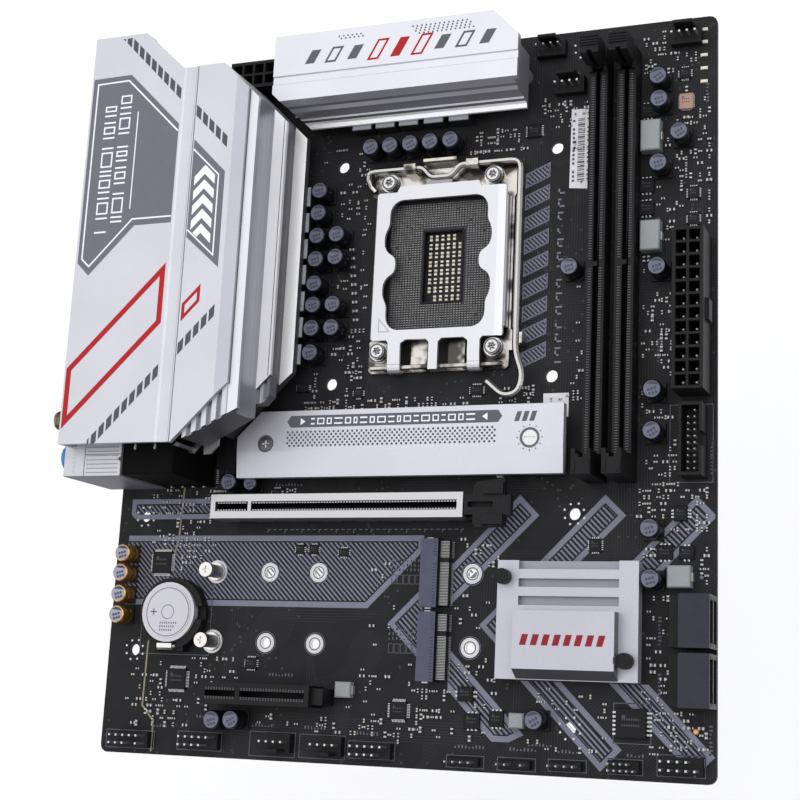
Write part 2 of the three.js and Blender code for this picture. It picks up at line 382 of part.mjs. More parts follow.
// ---------------------------------------------------------------- expansion slots
{
  const slotBody = (xa, xb, y, key, xtail) => {
    let s = box(xa, xb, y - 3.4, y + 3.4, SEAT, 10.9);
    s = cut(s, box(xa + 1.6, key - 0.75, y - 1.0, y + 1.0, 3, 12), box(key + 0.75, xb - 1.6, y - 1.0, y + 1.0, 3, 12));
    return s;
  };
  // armoured 16-lane slot: plastic core, folded steel shell round it, rocking latch at the end
  let s = slotBody(42.5, 131.2, X16_Y, 56.3);
  s = join(s, box(131.0, 136.4, X16_Y - 4.3, X16_Y - 3.3, SEAT, 6.8), box(131.0, 136.4, X16_Y + 3.3, X16_Y + 4.3, SEAT, 6.8), box(131.0, 136.4, X16_Y - 4.2, X16_Y + 4.2, SEAT, 0.8));
  put('pcie_x16_slot', s, 'black');
  let ar = box(41.9, 131.8, X16_Y - 4.0, X16_Y + 4.0, 1.4, 11.5);
  ar = cut(ar, box(42.2, 131.5, X16_Y - 3.7, X16_Y + 3.7, 0, 11.15));
  ar = cut(ar, box(130.6, 133, X16_Y - 5, X16_Y + 5, 0, 7.4));
  ar = cut(ar, box(43.6, 55.8, X16_Y - 1.6, X16_Y + 1.6, 11, 12), box(57.0, 129.8, X16_Y - 1.6, X16_Y + 1.6, 11, 12));
  // stepped lower edge of the shell, between its board legs
  for (let x = 48; x < 128; x += 12.6) ar = cut(ar, box(x, x + 6.2, X16_Y - 5, X16_Y + 5, 0, 2.6));
  put('pcie_x16_armor', ar, 'steel');
  const Y = X16_Y;
  let lt = prism([[132.2, Y - 2.9], [136.2, Y - 2.9], [136.2, Y + 2.9], [132.2, Y + 2.9]], 1.6, 9.6);
  lt = join(lt, prism([[132.2, Y - 3.2], [135.2, Y - 3.2], [135.2, Y - 6.0], [136.2, Y - 7.2], [145.6, Y - 6.9], [145.6, Y - 3.4], [147.7, Y - 3.4], [147.7, Y + 2.8], [145.6, Y + 2.8], [145.6, Y + 8.2], [136.6, Y + 7.2], [135.2, Y + 5.8], [135.2, Y + 3.2], [132.2, Y + 3.2]], 8.8, 11.4));
  lt = join(lt, alongX([[Y - 7.0, 9.2], [Y - 3.2, 9.2], [Y - 3.2, 12.6], [Y - 6.4, 12.6]], 138.5, 145.4), alongX([[Y + 3.2, 9.2], [Y + 7.4, 9.2], [Y + 6.8, 12.6], [Y + 3.2, 12.6]], 138.5, 145.4));
  lt = cut(lt, box(133.4, 141.8, Y - 0.9, Y + 0.9, 9.0, 14));
  put('pcie_x16_latch', lt, 'black');
  // open 4-lane slot
  let q = slotBody(42.8, 81.9, X4_Y, 56.3);
  q = join(q, box(81.7, 85.9, X4_Y - 2.6, X4_Y + 2.6, SEAT, 9.0));
  put('pcie_x4_slot', q, 'black');
}

// ---------------------------------------------------------------- drive slots
{
  // heatsink plate of the first drive slot: bias corner, a fold line along it, two fixings
  const y = M2_ROWS[0];
  const out = [[49.2, 91.7], [163.5, 91.7], [163.5, 114.0], [57.4, 114.0], [48.8, 105.5]];
  let h = prism(out, 5.9, 9.0);
  h = cut(h, alongX([[90, 8.3], [100.4, 9.0], [100.4, 10], [90, 10]], 40, 170));
  h = cut(h, prism([[64.5, 93.4], [148, 93.4], [148, 112.6], [64.5, 112.6]], 5, 7.2));
  h = cut(h, post(59.6, y, 2.9, 7.4, 10, 16), post(59.6, y, 1.8, 5, 10, 12), post(152.5, y, 2.9, 7.4, 10, 16), post(152.5, y, 1.8, 5, 10, 12));
  put('m2_heatsink', h, 'silver');
  const head = (drive) => cut(join(post(0, 0, 1.35, 2.6, 8, 12), post(0, 0, 2.5, 7.7, 8.9, 16)), drive);
  put('m2_heatsink_screw', head([box(-1.3, 1.3, -0.25, 0.25, 8.3, 10), box(-0.25, 0.25, -1.3, 1.3, 8.3, 10)]), 'steel', [59.6, y, 0]);
  put('m2_lock_knob', head([box(-2.0, 2.0, -0.35, 0.35, 8.3, 10)]), 'steel', [152.5, y, 0]);
  // posts that carry the heatsink
  [59.6, 152.5].forEach((x, i) => put(`m2_post_${i + 1}`, cut(join(post(0, 0, 2.6, SEAT, 5.6, 12), post(0, 0, 1.4, -1.5, 0.5, 12)), post(0, 0, 1.6, 2.0, 7, 12)), 'nickel', [x, y, 0]));
  // edge connectors, mouths facing the rear edge
  M2_ROWS.forEach((yy, i) => {
    const x = i ? 115.4 : 138.2, w = 10.9;
    let c = join(box(x, x + 5.9, yy - w, yy + w, SEAT, 4.2), box(x + 5.7, x + 9.2, yy - w + 0.5, yy + w - 0.5, SEAT, 2.6));
    c = cut(c, box(x - 1, x + 4.4, yy - w + 1, yy + 3.4, 1.5, 2.9), box(x - 1, x + 4.4, yy + 4.6, yy + w - 1, 1.5, 2.9));
    put(`m2_connector_${i + 1}`, c, 'slate');
  });
  // posts and screws of the two open drive slots, at the 80 mm position
  [1, 2].forEach((k) => {
    const x = M2_HOLE_42 - 38, yy = M2_ROWS[k];
    put(`m2_standoff_${k + 1}`, cut(join(post(0, 0, 3.0, SEAT, 1.0, 16), post(0, 0, 2.2, 0.8, 6.2, 12), post(0, 0, 1.35, -1.5, 0.5, 12)), post(0, 0, 1.25, 2.2, 7, 12)), 'nickel', [x, yy, 0]);
    let m = join(post(0, 0, 0.95, 3.0, 7, 12), post(0, 0, 2.45, 6.5, 8.3, 16));
    m = cut(m, box(-1.2, 1.2, -0.25, 0.25, 7.5, 10), box(-0.25, 0.25, -1.2, 1.2, 7.5, 10));
    put(`m2_screw_${k + 1}`, m, 'steel', [x, yy, 0]);
  });
}

// ---------------------------------------------------------------- clock battery
{
  const [x, y] = CELL;
  let b = join(post(x + 0.7, y - 0.4, 12.0, SEAT, 4.4, 32), prism([[x - 6, y - 8], [x + 6, y - 8], [x + 6, y - 12.9], [x - 6, y - 12.9]], SEAT, 4.0));
  b = cut(b, post(x, y, CELL_R + 0.4, 1.9, 6, 32), box(x - 3.1, x + 3.1, y - 14, y - 9, 1.9, 6), box(x + 5, x + 15, y - 2.2, y + 2.2, 1.9, 6));
  put('battery_holder', b, 'black');
  put('coin_cell', join(post(x, y, CELL_R, 2.6, 5.3, 32), post(x, y, CELL_R - 1.3, 2.2, 5.5, 32)), 'cell');
  // spring clip that holds the cell's edge
  put('battery_clip', alongX([[y - 12.6, 2.2], [y - 10.9, 2.2], [y - 10.9, 2.6], [y - 12.1, 2.7], [y - 12.1, 5.2], [y - 11.6, 5.7], [y - 10.45, 5.9], [y - 10.45, 6.3], [y - 11.9, 6.2], [y - 12.6, 5.4]], x - 2.8, x + 2.8), 'nickel');
}

// ---------------------------------------------------------------- rear connectors
{
  const FACE = -4.6;               // the connectors' front plane, just past the board's edge
  const shell = (y0, y1, x1, top) => box(FACE, x1, y0, y1, SEAT, top);
  const port = (yc, w, z0, z1, d = 10) => box(FACE - 1, FACE + d, yc - w / 2, yc + w / 2, z0, z1);
  // three stacked sound jacks
  let a = shell(89.6, 103.4, 17.3, 30.4);
  for (const z of [5.6, 15.6, 25.6]) a = join(a, alongX(ring(96.5, z, 4.2, 16), FACE - 2.0, FACE + 1));
  for (const z of [5.6, 15.6, 25.6]) a = cut(a, alongX(ring(96.5, z, 1.85, 12), FACE - 4, FACE + 12));
  put('audio_jacks', a, 'zinc');
  // wireless bracket with two threaded aerial posts
  let w = join(box(FACE + 0.6, 22, 104.0, 115.0, SEAT, 30.5));
  for (const z of [12.0, 26.8]) w = join(w, alongX(ring(109.4, z, 3.1, 16), -11.0, FACE + 1.5));
  for (const z of [12.0, 26.8]) w = cut(w, alongX(ring(109.4, z, 1.6, 12), -12, -4));
  put('wireless_module', w, 'gold');
  // network jack over two ports
  let n = shell(118.2, 134.6, 20.6, 29.6);
  n = cut(n, port(126.4, 12.2, 17.6, 27.2, 13), port(126.4, 13.0, 9.9, 15.2), port(126.4, 13.0, 2.3, 7.6));
  put('network_stack', n, 'zinc');
  // two four-port stacks
  [[138.2, 152.6], [156.4, 170.8]].forEach(([y0, y1], i) => {
    const c = (y0 + y1) / 2;
    let s = shell(y0, y1, 13.4, i ? 15.9 : 29.4);
    s = cut(s, port(c, 12.6, 9.3, 14.4), port(c, 12.6, 2.2, 7.3));
    if (!i) s = cut(s, port(c, 12.6, 16.2, 21.3), port(c, 12.6, 23.2, 28.3));
    put(`usb_stack_${i + 1}`, s, 'zinc');
  });
  // two display outputs, one above the other
  let v = shell(175.0, 194.0, 16.5, 22.4);
  v = cut(v, port(184.5, 14.4, 3.0, 8.0), port(184.5, 16.4, 13.4, 18.6));
  put('display_stack', v, 'zinc');
  // two more ports nearest the processor supply
  let k = shell(198.4, 212.8, 13.4, 15.9);
  k = cut(k, port(205.6, 12.6, 9.3, 14.4), port(205.6, 12.6, 2.2, 7.3));
  put('usb_stack_3', k, 'zinc');
}

// ---------------------------------------------------------------- headers along the edges
{
  // fan header: low base with a tall latch wall, four pins
  const fan = (pins, tall = 7.6) => {
    const w = pins * 2.54;
    let m = join(box(-w / 2, w / 2, -2.9, 3.0, SEAT, 3.2), box(-3.2, 3.2, 1.9, 3.0, SEAT, tall + 1.2));
    for (let i = 0; i < pins; i++) { const x = (i - (pins - 1) / 2) * 2.54; m = join(m, box(x - 0.32, x + 0.32, -0.72, -0.08, 1, tall)); }
    return m;
  };
  put('cpu_fan_header', fan(4), 'black', [161.0, 223.7, 0]);
  put('corner_fan_header', fan(4), 'black', [200.2, 236.8, 0]);
  const low = fan(4).rotate([0, 0, 180]);
  put('system_fan_header_1', low, 'black', [67.4, 5.8, 0]);
  put('system_fan_header_2', low, 'black', [85.6, 5.6, 0]);
  // two-row pin headers; one corner pin is left out as the key
  const rows = (n, nr, skip, z = 8.4) => {
    const w = n * 2.54, d = nr * 2.54;
    let m = box(-w / 2, w / 2, -d / 2, d / 2, SEAT, 2.6);
    for (let i = 0; i < n; i++) for (let j = 0; j < nr; j++) {
      if (skip && skip[0] === i && skip[1] === j) continue;
      const x = (i - (n - 1) / 2) * 2.54, y = (j - (nr - 1) / 2) * 2.54;
      m = join(m, box(x - 0.32, x + 0.32, y - 0.32, y + 0.32, 2, z));
    }
    return m;
  };
  put('audio_header', rows(5, 2, [3, 0]), 'black', [13.2, 4.7, 0]);
  put('serial_header', rows(5, 2, [4, 0]), 'black', [39.5, 5.2, 0]);
  put('usb2_header', rows(5, 2, [4, 0]), 'black', [101.0, 4.9, 0]);
  put('front_panel_header', rows(5, 2, [4, 1]), 'black', [200.0, 5.0, 0]);
}

export default root;
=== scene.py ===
import math
import random

import bmesh
import bpy
from mathutils import Matrix, Vector


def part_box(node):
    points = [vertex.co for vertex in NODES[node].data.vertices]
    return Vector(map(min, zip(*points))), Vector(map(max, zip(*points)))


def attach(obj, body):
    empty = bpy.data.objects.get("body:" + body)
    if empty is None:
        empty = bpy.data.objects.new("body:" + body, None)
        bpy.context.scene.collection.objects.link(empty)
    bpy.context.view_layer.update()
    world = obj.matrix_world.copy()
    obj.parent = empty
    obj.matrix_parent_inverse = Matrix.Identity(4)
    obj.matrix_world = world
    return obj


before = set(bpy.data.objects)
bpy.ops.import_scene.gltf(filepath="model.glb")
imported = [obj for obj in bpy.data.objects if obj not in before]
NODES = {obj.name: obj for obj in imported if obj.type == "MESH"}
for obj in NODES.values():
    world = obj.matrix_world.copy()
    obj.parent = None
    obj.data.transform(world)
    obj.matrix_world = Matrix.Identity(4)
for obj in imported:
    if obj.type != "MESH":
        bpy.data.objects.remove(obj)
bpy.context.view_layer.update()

random.seed(7)

# Everything below is in board millimetres: x from the rear connector edge, y from the
# slot end, h above the component side. W() turns that into the row frame, in metres.
BW, BL, BT = 210.0, 243.84, 1.6


def W(p):
    return ((p[0] - BW / 2) * 1e-3, (p[1] - BL / 2) * 1e-3, (p[2] + BT) * 1e-3)


def lin(r, g=None, b=None):
    c = (r, r, r) if g is None else (r, g, b)
    return tuple(((x / 255 + 0.055) / 1.055) ** 2.4 if x > 10 else x / 255 / 12.92 for x in c)


# ------------------------------------------------------------------ materials
def tree(name):
    m = bpy.data.materials.new(name)
    m.use_nodes = True
    nt = m.node_tree
    nt.nodes.clear()
    out = nt.nodes.new("ShaderNodeOutputMaterial")
    sh = nt.nodes.new("ShaderNodeBsdfPrincipled")
    nt.links.new(sh.outputs[0], out.inputs[0])
    return m, nt, sh


def coords(nt, scale=(1000, 1000, 1000), rot=(0, 0, 0)):
    tc = nt.nodes.new("ShaderNodeTexCoord")
    mp = nt.nodes.new("ShaderNodeMapping")
    mp.inputs["Scale"].default_value = scale
    mp.inputs["Rotation"].default_value = rot
    nt.links.new(tc.outputs["Object"], mp.inputs[0])
    return mp.outputs[0]


def noise(nt, vec, scale, detail=3, rough=0.55):
    n = nt.nodes.new("ShaderNodeTexNoise")
    n.inputs["Scale"].default_value = scale
    n.inputs["Detail"].default_value = detail
    n.inputs["Roughness"].default_value = rough
    nt.links.new(vec, n.inputs["Vector"])
    return n.outputs["Fac"]


def remap(nt, fac, a, b, c, d, clamp=True):
    r = nt.nodes.new("ShaderNodeMapRange")
    r.clamp = clamp
    for i, v in enumerate((a, b, c, d)):
        r.inputs[1 + i].default_value = v
    nt.links.new(fac, r.inputs[0])
    return r.outputs[0]


def mathn(nt, op, a, b=0.0):
    n = nt.nodes.new("ShaderNodeMath")
    n.operation = op
    for i, v in enumerate((a, b)):
        if isinstance(v, (int, float)):
            n.inputs[i].default_value = v
        else:
            nt.links.new(v, n.inputs[i])
    return n.outputs[0]


def mix(nt, fac, a, b):
    n = nt.nodes.new("ShaderNodeMix")
    n.data_type = "RGBA"
    if isinstance(fac, (int, float)):
        n.inputs[0].default_value = fac
    else:
        nt.links.new(fac, n.inputs[0])
    for i, v in ((6, a), (7, b)):
        if isinstance(v, tuple):
            n.inputs[i].default_value = (*v, 1)
        else:
            nt.links.new(v, n.inputs[i])
    return n.outputs[2]


def mat(name, col, rough=0.5, metal=0.0, spec=0.5, var=0.1, vs=0.4, rv=0.08, bump=0.0, bs=4.0, stretch=(1, 1, 1), coat=0.0, glow=0.0):
    """Plain moulded, plated or printed surface with mottled colour, uneven gloss and a fine relief."""
    m, nt, sh = tree(name)
    v = coords(nt, tuple(1000 * s for s in stretch))
    f = noise(nt, v, vs, 4)
    lo = tuple(c * (1 - var) for c in col)
    hi = tuple(min(1, c * (1 + var)) for c in col)
    nt.links.new(mix(nt, remap(nt, f, 0.3, 0.7, 0, 1), lo, hi), sh.inputs["Base Color"])
    f2 = noise(nt, v, bs, 3)
    nt.links.new(remap(nt, f2, 0.3, 0.7, max(0.02, rough - rv), min(1, rough + rv)), sh.inputs["Roughness"])
    sh.inputs["Metallic"].default_value = metal
    sh.inputs["Specular IOR Level"].default_value = spec
    if coat:
        sh.inputs["Coat Weight"].default_value = coat
        sh.inputs["Coat Roughness"].default_value = 0.15
    if bump:
        b = nt.nodes.new("ShaderNodeBump")
        b.inputs["Strength"].default_value = bump
        b.inputs["Distance"].default_value = 0.00008
        nt.links.new(f2, b.inputs["Height"])
        nt.links.new(b.outputs[0], sh.inputs["Normal"])
    return m


def board_material():
    """Black solder mask: faint routed traces in two directions, plane outlines and fine tenting dots."""
    m, nt, sh = tree("mask_black")
    v = coords(nt)

    def bands(direction, pitch, rot=0.0):
        w = nt.nodes.new("ShaderNodeTexWave")
        w.wave_type = "BANDS"
        w.bands_direction = direction
        w.wave_profile = "TRI"
        w.inputs["Scale"].default_value = 2 * math.pi / (20 * pitch)
        w.inputs["Distortion"].default_value = 0
        nt.links.new(coords(nt, rot=(0, 0, rot)) if rot else v, w.inputs["Vector"])
        return remap(nt, w.outputs["Fac"], 0.62, 0.8, 0, 1)

    def mask(sx, sy, lo, hi, off):
        mp = nt.nodes.new("ShaderNodeMapping")
        mp.inputs["Scale"].default_value = (sx, sy, 1)
        mp.inputs["Location"].default_value = (off, off * 0.7, 0)
        nt.links.new(v, mp.inputs[0])
        return remap(nt, noise(nt, mp.outputs[0], 1.0, 1), lo, hi, 0, 1)

    a = mathn(nt, "MULTIPLY", bands("Y", 0.9), mask(0.010, 0.06, 0.56, 0.58, 3.1))
    b = mathn(nt, "MULTIPLY", bands("X", 0.9), mask(0.07, 0.012, 0.56, 0.58, 8.7))
    c = mathn(nt, "MULTIPLY", bands("X", 0.9, math.radians(45)), mask(0.05, 0.05, 0.60, 0.61, 15.2))
    lines = mathn(nt, "MAXIMUM", mathn(nt, "MAXIMUM", a, b), c)
    vo = nt.nodes.new("ShaderNodeTexVoronoi")
    vo.inputs["Scale"].default_value = 0.42
    nt.links.new(v, vo.inputs["Vector"])
    dots = mathn(nt, "MULTIPLY", remap(nt, vo.outputs["Distance"], 0.20, 0.16, 0, 1), mask(0.05, 0.05, 0.50, 0.53, 22.0))
    f = noise(nt, v, 0.08, 3)
    base = mix(nt, remap(nt, f, 0.3, 0.7, 0, 1), lin(22, 22, 24), lin(29, 29, 31))
    col = mix(nt, mathn(nt, "MULTIPLY", lines, 0.75), base, lin(43, 43, 46))
    col = mix(nt, mathn(nt, "MULTIPLY", dots, 0.6), col, lin(70, 69, 68))
    nt.links.new(col, sh.inputs["Base Color"])
    nt.links.new(remap(nt, noise(nt, v, 6, 2), 0.3, 0.7, 0.46, 0.58), sh.inputs["Roughness"])
    sh.inputs["Specular IOR Level"].default_value = 0.14
    bp = nt.nodes.new("ShaderNodeBump")
    bp.inputs["Strength"].default_value = 0.5
    bp.inputs["Distance"].default_value = 0.00004
    nt.links.new(mathn(nt, "ADD", lines, dots), bp.inputs["Height"])
    nt.links.new(bp.outputs[0], sh.inputs["Normal"])
    return m


def alloy(name, col, rough, metal, grain=0.25, stretch=(1, 1, 1), gs=3.2):
    """Blasted and clear-anodised alloy: a fine sparkle of grain over a very slightly uneven tone."""
    m, nt, sh = tree(name)
    v = coords(nt, tuple(1000 * s for s in stretch))
    g = noise(nt, v, gs, 2, 0.7)
    t = noise(nt, v, 0.03, 2)
    base = mix(nt, remap(nt, t, 0.3, 0.7, 0, 1), tuple(c * 0.96 for c in col), tuple(min(1, c * 1.03) for c in col))
    nt.links.new(mix(nt, remap(nt, g, 0.35, 0.7, 0, min(0.22, grain * 0.9)), base, tuple(c * 0.7 for c in col)), sh.inputs["Base Color"])
    nt.links.new(remap(nt, g, 0.3, 0.7, rough - min(0.06, grain * 0.4), rough + min(0.07, grain * 0.4)), sh.inputs["Roughness"])
    sh.inputs["Metallic"].default_value = metal
    bp = nt.nodes.new("ShaderNodeBump")
    bp.inputs["Strength"].default_value = grain
    bp.inputs["Distance"].default_value = 0.00005
    nt.links.new(g, bp.inputs["Height"])
    nt.links.new(bp.outputs[0], sh.inputs["Normal"])
    return m


def pressed(name, dark, bright, rough, scale=0.28, cut=(0.44, 0.56)):
    """Bright polished pressed steel with painted reflections: noise breaks its colour into light and dark patches."""
    m, nt, sh = tree(name)
    v = coords(nt)
    f = noise(nt, v, scale, 2, 0.5)
    nt.links.new(mix(nt, remap(nt, f, cut[0], cut[1], 0, 1), dark, bright), sh.inputs["Base Color"])
    sh.inputs["Roughness"].default_value = rough
    sh.inputs["Metallic"].default_value = 0.95
    return m


M = {
    "mask": board_material(),
    "print": mat("print_lavender", lin(108, 109, 124), 0.62, spec=0.3, var=0.07, bump=0.15),
    "print_dim": mat("print_dim", lin(84, 85, 96), 0.62, spec=0.3, var=0.07),
    "print_white": mat("print_pale", lin(176, 176, 182), 0.6, spec=0.3, var=0.05),
    "olive": mat("bare_track", lin(122, 118, 88), 0.5, spec=0.4, var=0.12),
    "silver": alloy("alloy_silver", (0.50, 0.50, 0.545), 0.40, 0.5),
    "silver_fine": alloy("alloy_silver_fine", (0.66, 0.66, 0.70), 0.36, 0.45, 0.12, (1, 0.05, 1), 5.0),
    "steel": alloy("steel_bright", (0.40, 0.40, 0.43), 0.33, 0.85, 0.06, (1, 0.15, 1), 4.0),
    "nickel": alloy("nickel_plate", (0.58, 0.565, 0.54), 0.23, 1.0, 0.05, (1, 1, 1), 2.0),
    "zinc": alloy("zinc_plate", (0.42, 0.42, 0.44), 0.36, 0.6, 0.12, (1, 1, 0.2), 4.0),
    "tin": alloy("solder_tin", (0.50, 0.50, 0.515), 0.40, 0.7, 0.2, (1, 1, 1), 3.0),
    "gold": alloy("gold_plate", (0.86, 0.62, 0.28), 0.26, 1.0, 0.08, (1, 1, 1), 3.0),
    "bronze": alloy("cap_bronze", (0.55, 0.30, 0.07), 0.22, 0.9, 0.05, (1, 1, 1), 2.0),
    "cell": alloy("cell_steel", (0.44, 0.435, 0.47), 0.34, 0.4, 0.10, (1, 0.1, 1), 6.0),
    "black": mat("moulded_black", lin(20, 20, 22), 0.5, spec=0.16, var=0.18, vs=0.5, bump=0.35, bs=5),
    "black_satin": mat("moulded_black_satin", lin(15, 15, 17), 0.42, spec=0.2, var=0.15, bump=0.2, bs=6),
    "slate": mat("moulded_slate", lin(72, 74, 92), 0.5, spec=0.2, var=0.08, bump=0.3, bs=5),
    "slate_dark": mat("moulded_slate_dark", lin(38, 39, 49), 0.42, spec=0.2, var=0.1, bump=0.3, bs=5),
    "chip": mat("chip_epoxy", lin(20, 20, 22), 0.5, spec=0.14, var=0.14, vs=1.2, bump=0.4, bs=9),
    "field": mat("contact_bed", lin(52, 52, 56), 0.6, spec=0.15, var=0.1),
    "green": mat("package_green", lin(20, 44, 34), 0.4, spec=0.3, var=0.1),
    "can": mat("cap_can", lin(26, 27, 35), 0.24, metal=0.5, spec=0.5, var=0.1, rv=0.04),
    "can_top": mat("cap_top", lin(94, 97, 114), 0.42, metal=0.25, spec=0.3, var=0.10, vs=1.2, bump=0.1),
    "can_mark": mat("cap_mark", lin(42, 43, 56), 0.45, var=0.08),
    "ferrite": mat("choke_grey", lin(134, 138, 140), 0.5, metal=0.15, spec=0.3, var=0.06, vs=2.0, bump=0.4, bs=6),
    # painted light on the chokes' tops
    "ferrite_painted_lit_top": mat("choke_painted_lit_top", lin(150, 154, 160), 0.5, metal=0.15, spec=0.3, var=0.08, vs=2.0, bump=0.4, bs=6),
    "ferrite_dark": mat("choke_dark", lin(58, 58, 60), 0.6, var=0.15, vs=2.0, bump=0.5, bs=6),
    "tan": mat("ceramic_tan", lin(132, 112, 88), 0.5, var=0.12, vs=1.0),
    "ceramic": mat("ceramic_grey", lin(84, 80, 78), 0.5, var=0.15, vs=1.0),
    "resist": mat("resistor_black", lin(18, 18, 19), 0.4, spec=0.2, var=0.15, vs=1.0),
    "pink": mat("package_rose", lin(150, 118, 106), 0.4, metal=0.3, var=0.12, vs=1.5),
    "ink": mat("ink_grey", lin(100, 100, 108), 0.5, metal=0.15, spec=0.25, var=0.03),
    "ink_dark": mat("ink_dark", lin(74, 74, 80), 0.5, metal=0.1, spec=0.2, var=0.03),
    "ink_white": mat("ink_white", lin(222, 223, 234), 0.5, spec=0.25, var=0.02),
    "ink_red": mat("ink_red", lin(160, 22, 26), 0.5, spec=0.2, var=0.05),
    "label": mat("label_paper", lin(205, 205, 210), 0.6, spec=0.2, var=0.03, vs=0.3),
    "label_ink": mat("label_ink", lin(70, 70, 76), 0.6, var=0.05),
    "blue": mat("jack_blue", lin(36, 112, 178), 0.4, var=0.06),
    "lime": mat("jack_green", lin(92, 164, 82), 0.4, var=0.06),
    "rose": mat("jack_rose", lin(212, 120, 140), 0.4, var=0.06),
    "teal": mat("tongue_blue", lin(24, 84, 150), 0.4, var=0.06),
    "red_tongue": mat("tongue_red", lin(170, 34, 38), 0.4, var=0.06),
    "white_plastic": mat("moulded_white", lin(222, 222, 218), 0.4, var=0.04, bump=0.15),
    "lamp": mat("lamp_clear", lin(206, 204, 180), 0.3, var=0.05, coat=0.4),
    "shade": alloy("alloy_shade", (0.36, 0.36, 0.40), 0.5, 0.6),
    "tin_dim": alloy("tin_dim", (0.42, 0.42, 0.43), 0.35, 0.9, 0.15, (1, 1, 1), 3.0),
    "rib": mat("slot_rib", lin(88, 88, 93), 0.45, spec=0.25, var=0.1),
    "white_steel": mat("shield_pale", lin(184, 184, 190), 0.38, metal=0.2, spec=0.4, var=0.04, bump=0.1),
    # dim steel, also used as painted shade on pin shafts and pin sides
    "steel_dim_and_shade": alloy("steel_dim_and_shade", (0.34, 0.34, 0.36), 0.36, 0.85, 0.1, (1, 0.2, 1), 4.0),
    "contact": mat("contact_gold", lin(120, 120, 118), 0.4, metal=0.4, spec=0.3, var=0.3, vs=0.6),
    "ink_mid": mat("ink_mid", lin(84, 84, 90), 0.5, metal=0.15, spec=0.25, var=0.03),
    "ink_red2": mat("ink_red_deep", lin(128, 24, 34), 0.5, spec=0.2, var=0.05),
    "cell_dark": mat("cell_mark", lin(104, 103, 112), 0.5, metal=0.4, var=0.06),
    # painted shade: a darker copy of the shield's pale steel for its side
    "shield_side_shaded": mat("shield_side_shaded", lin(96, 95, 106), 0.5, metal=0.1, spec=0.25, var=0.04),
    # dimmer alloy: the chipset heatsink's own tone, and painted shade on faces of the left heatsink
    "silver_dim_and_shade": alloy("alloy_silver_dim_and_shade", (0.40, 0.40, 0.45), 0.42, 0.5),
    "steel_plate": alloy("load_plate_steel", (0.54, 0.54, 0.57), 0.34, 0.8, 0.03, (1, 0.15, 1), 4.0),
    # painted reflections: light and dark patches on the load frame's steel
    "frame_steel_painted_reflections": pressed("frame_steel_painted_reflections", (0.06, 0.055, 0.05), (0.50, 0.475, 0.44), 0.26, 0.16, (0.42, 0.58)),
    "rod_steel": alloy("rod_steel", (0.44, 0.43, 0.415), 0.22, 1.0, 0.0),
    "screw_steel": alloy("screw_steel", (0.50, 0.50, 0.50), 0.22, 1.0, 0.0),
    "armor": alloy("armor_steel", (0.42, 0.42, 0.425), 0.30, 0.9, 0.03, (0.1, 1, 1), 4.0),
    "cap_cream": mat("cap_cream", lin(204, 201, 186), 0.45, spec=0.3, var=0.06),
    # painted light and shade: lighter and darker copies of the alloy, given to faces by how the light falls on them
    "bright": alloy("alloy_bright", (0.84, 0.84, 0.88), 0.34, 0.45),
    "painted_highlight": alloy("alloy_painted_highlight", (0.95, 0.95, 0.97), 0.34, 0.35),
    "painted_shade_mid": alloy("alloy_painted_shade_mid", (0.32, 0.32, 0.36), 0.38, 0.6),
    "painted_shade_groove": alloy("alloy_painted_shade_groove", (0.24, 0.24, 0.27), 0.4, 0.6),
    "painted_shade_deep": alloy("alloy_painted_shade_deep", (0.09, 0.09, 0.10), 0.45, 0.5),
    "silver_painted_lit": alloy("alloy_silver_painted_lit", (0.60, 0.60, 0.645), 0.40, 0.5),
    # painted shadow: near black for the jack body and the shade under the cover
    "jack_black_and_shadow": mat("jack_black_and_shadow_black", lin(9, 9, 10), 0.6, spec=0.05, var=0.1),
    "brass_dark": alloy("brass_dark", (0.30, 0.25, 0.17), 0.3, 0.9, 0.08, (1, 1, 1), 3.0),
    # painted shade on the chokes' sides
    "ferrite_painted_shade_side": mat("choke_painted_shade_side", lin(30, 30, 32), 0.6, spec=0.2, var=0.1),
    "cap_pale": mat("cap_pale", lin(146, 144, 162), 0.4, metal=0.2, spec=0.3, var=0.05),
    "contact_dim": mat("contact_dim", lin(64, 64, 66), 0.45, metal=0.2, spec=0.3, var=0.1),
    "tin_end": alloy("tin_end", (0.40, 0.40, 0.41), 0.42, 0.6, 0.2, (1, 1, 1), 3.0),
    "comb": alloy("contact_comb", (0.30, 0.30, 0.30), 0.35, 0.8, 0.1, (1, 1, 1), 3.0),
    "amber": mat("lamp_amber", lin(214, 150, 90), 0.3, var=0.05, coat=0.4),
}


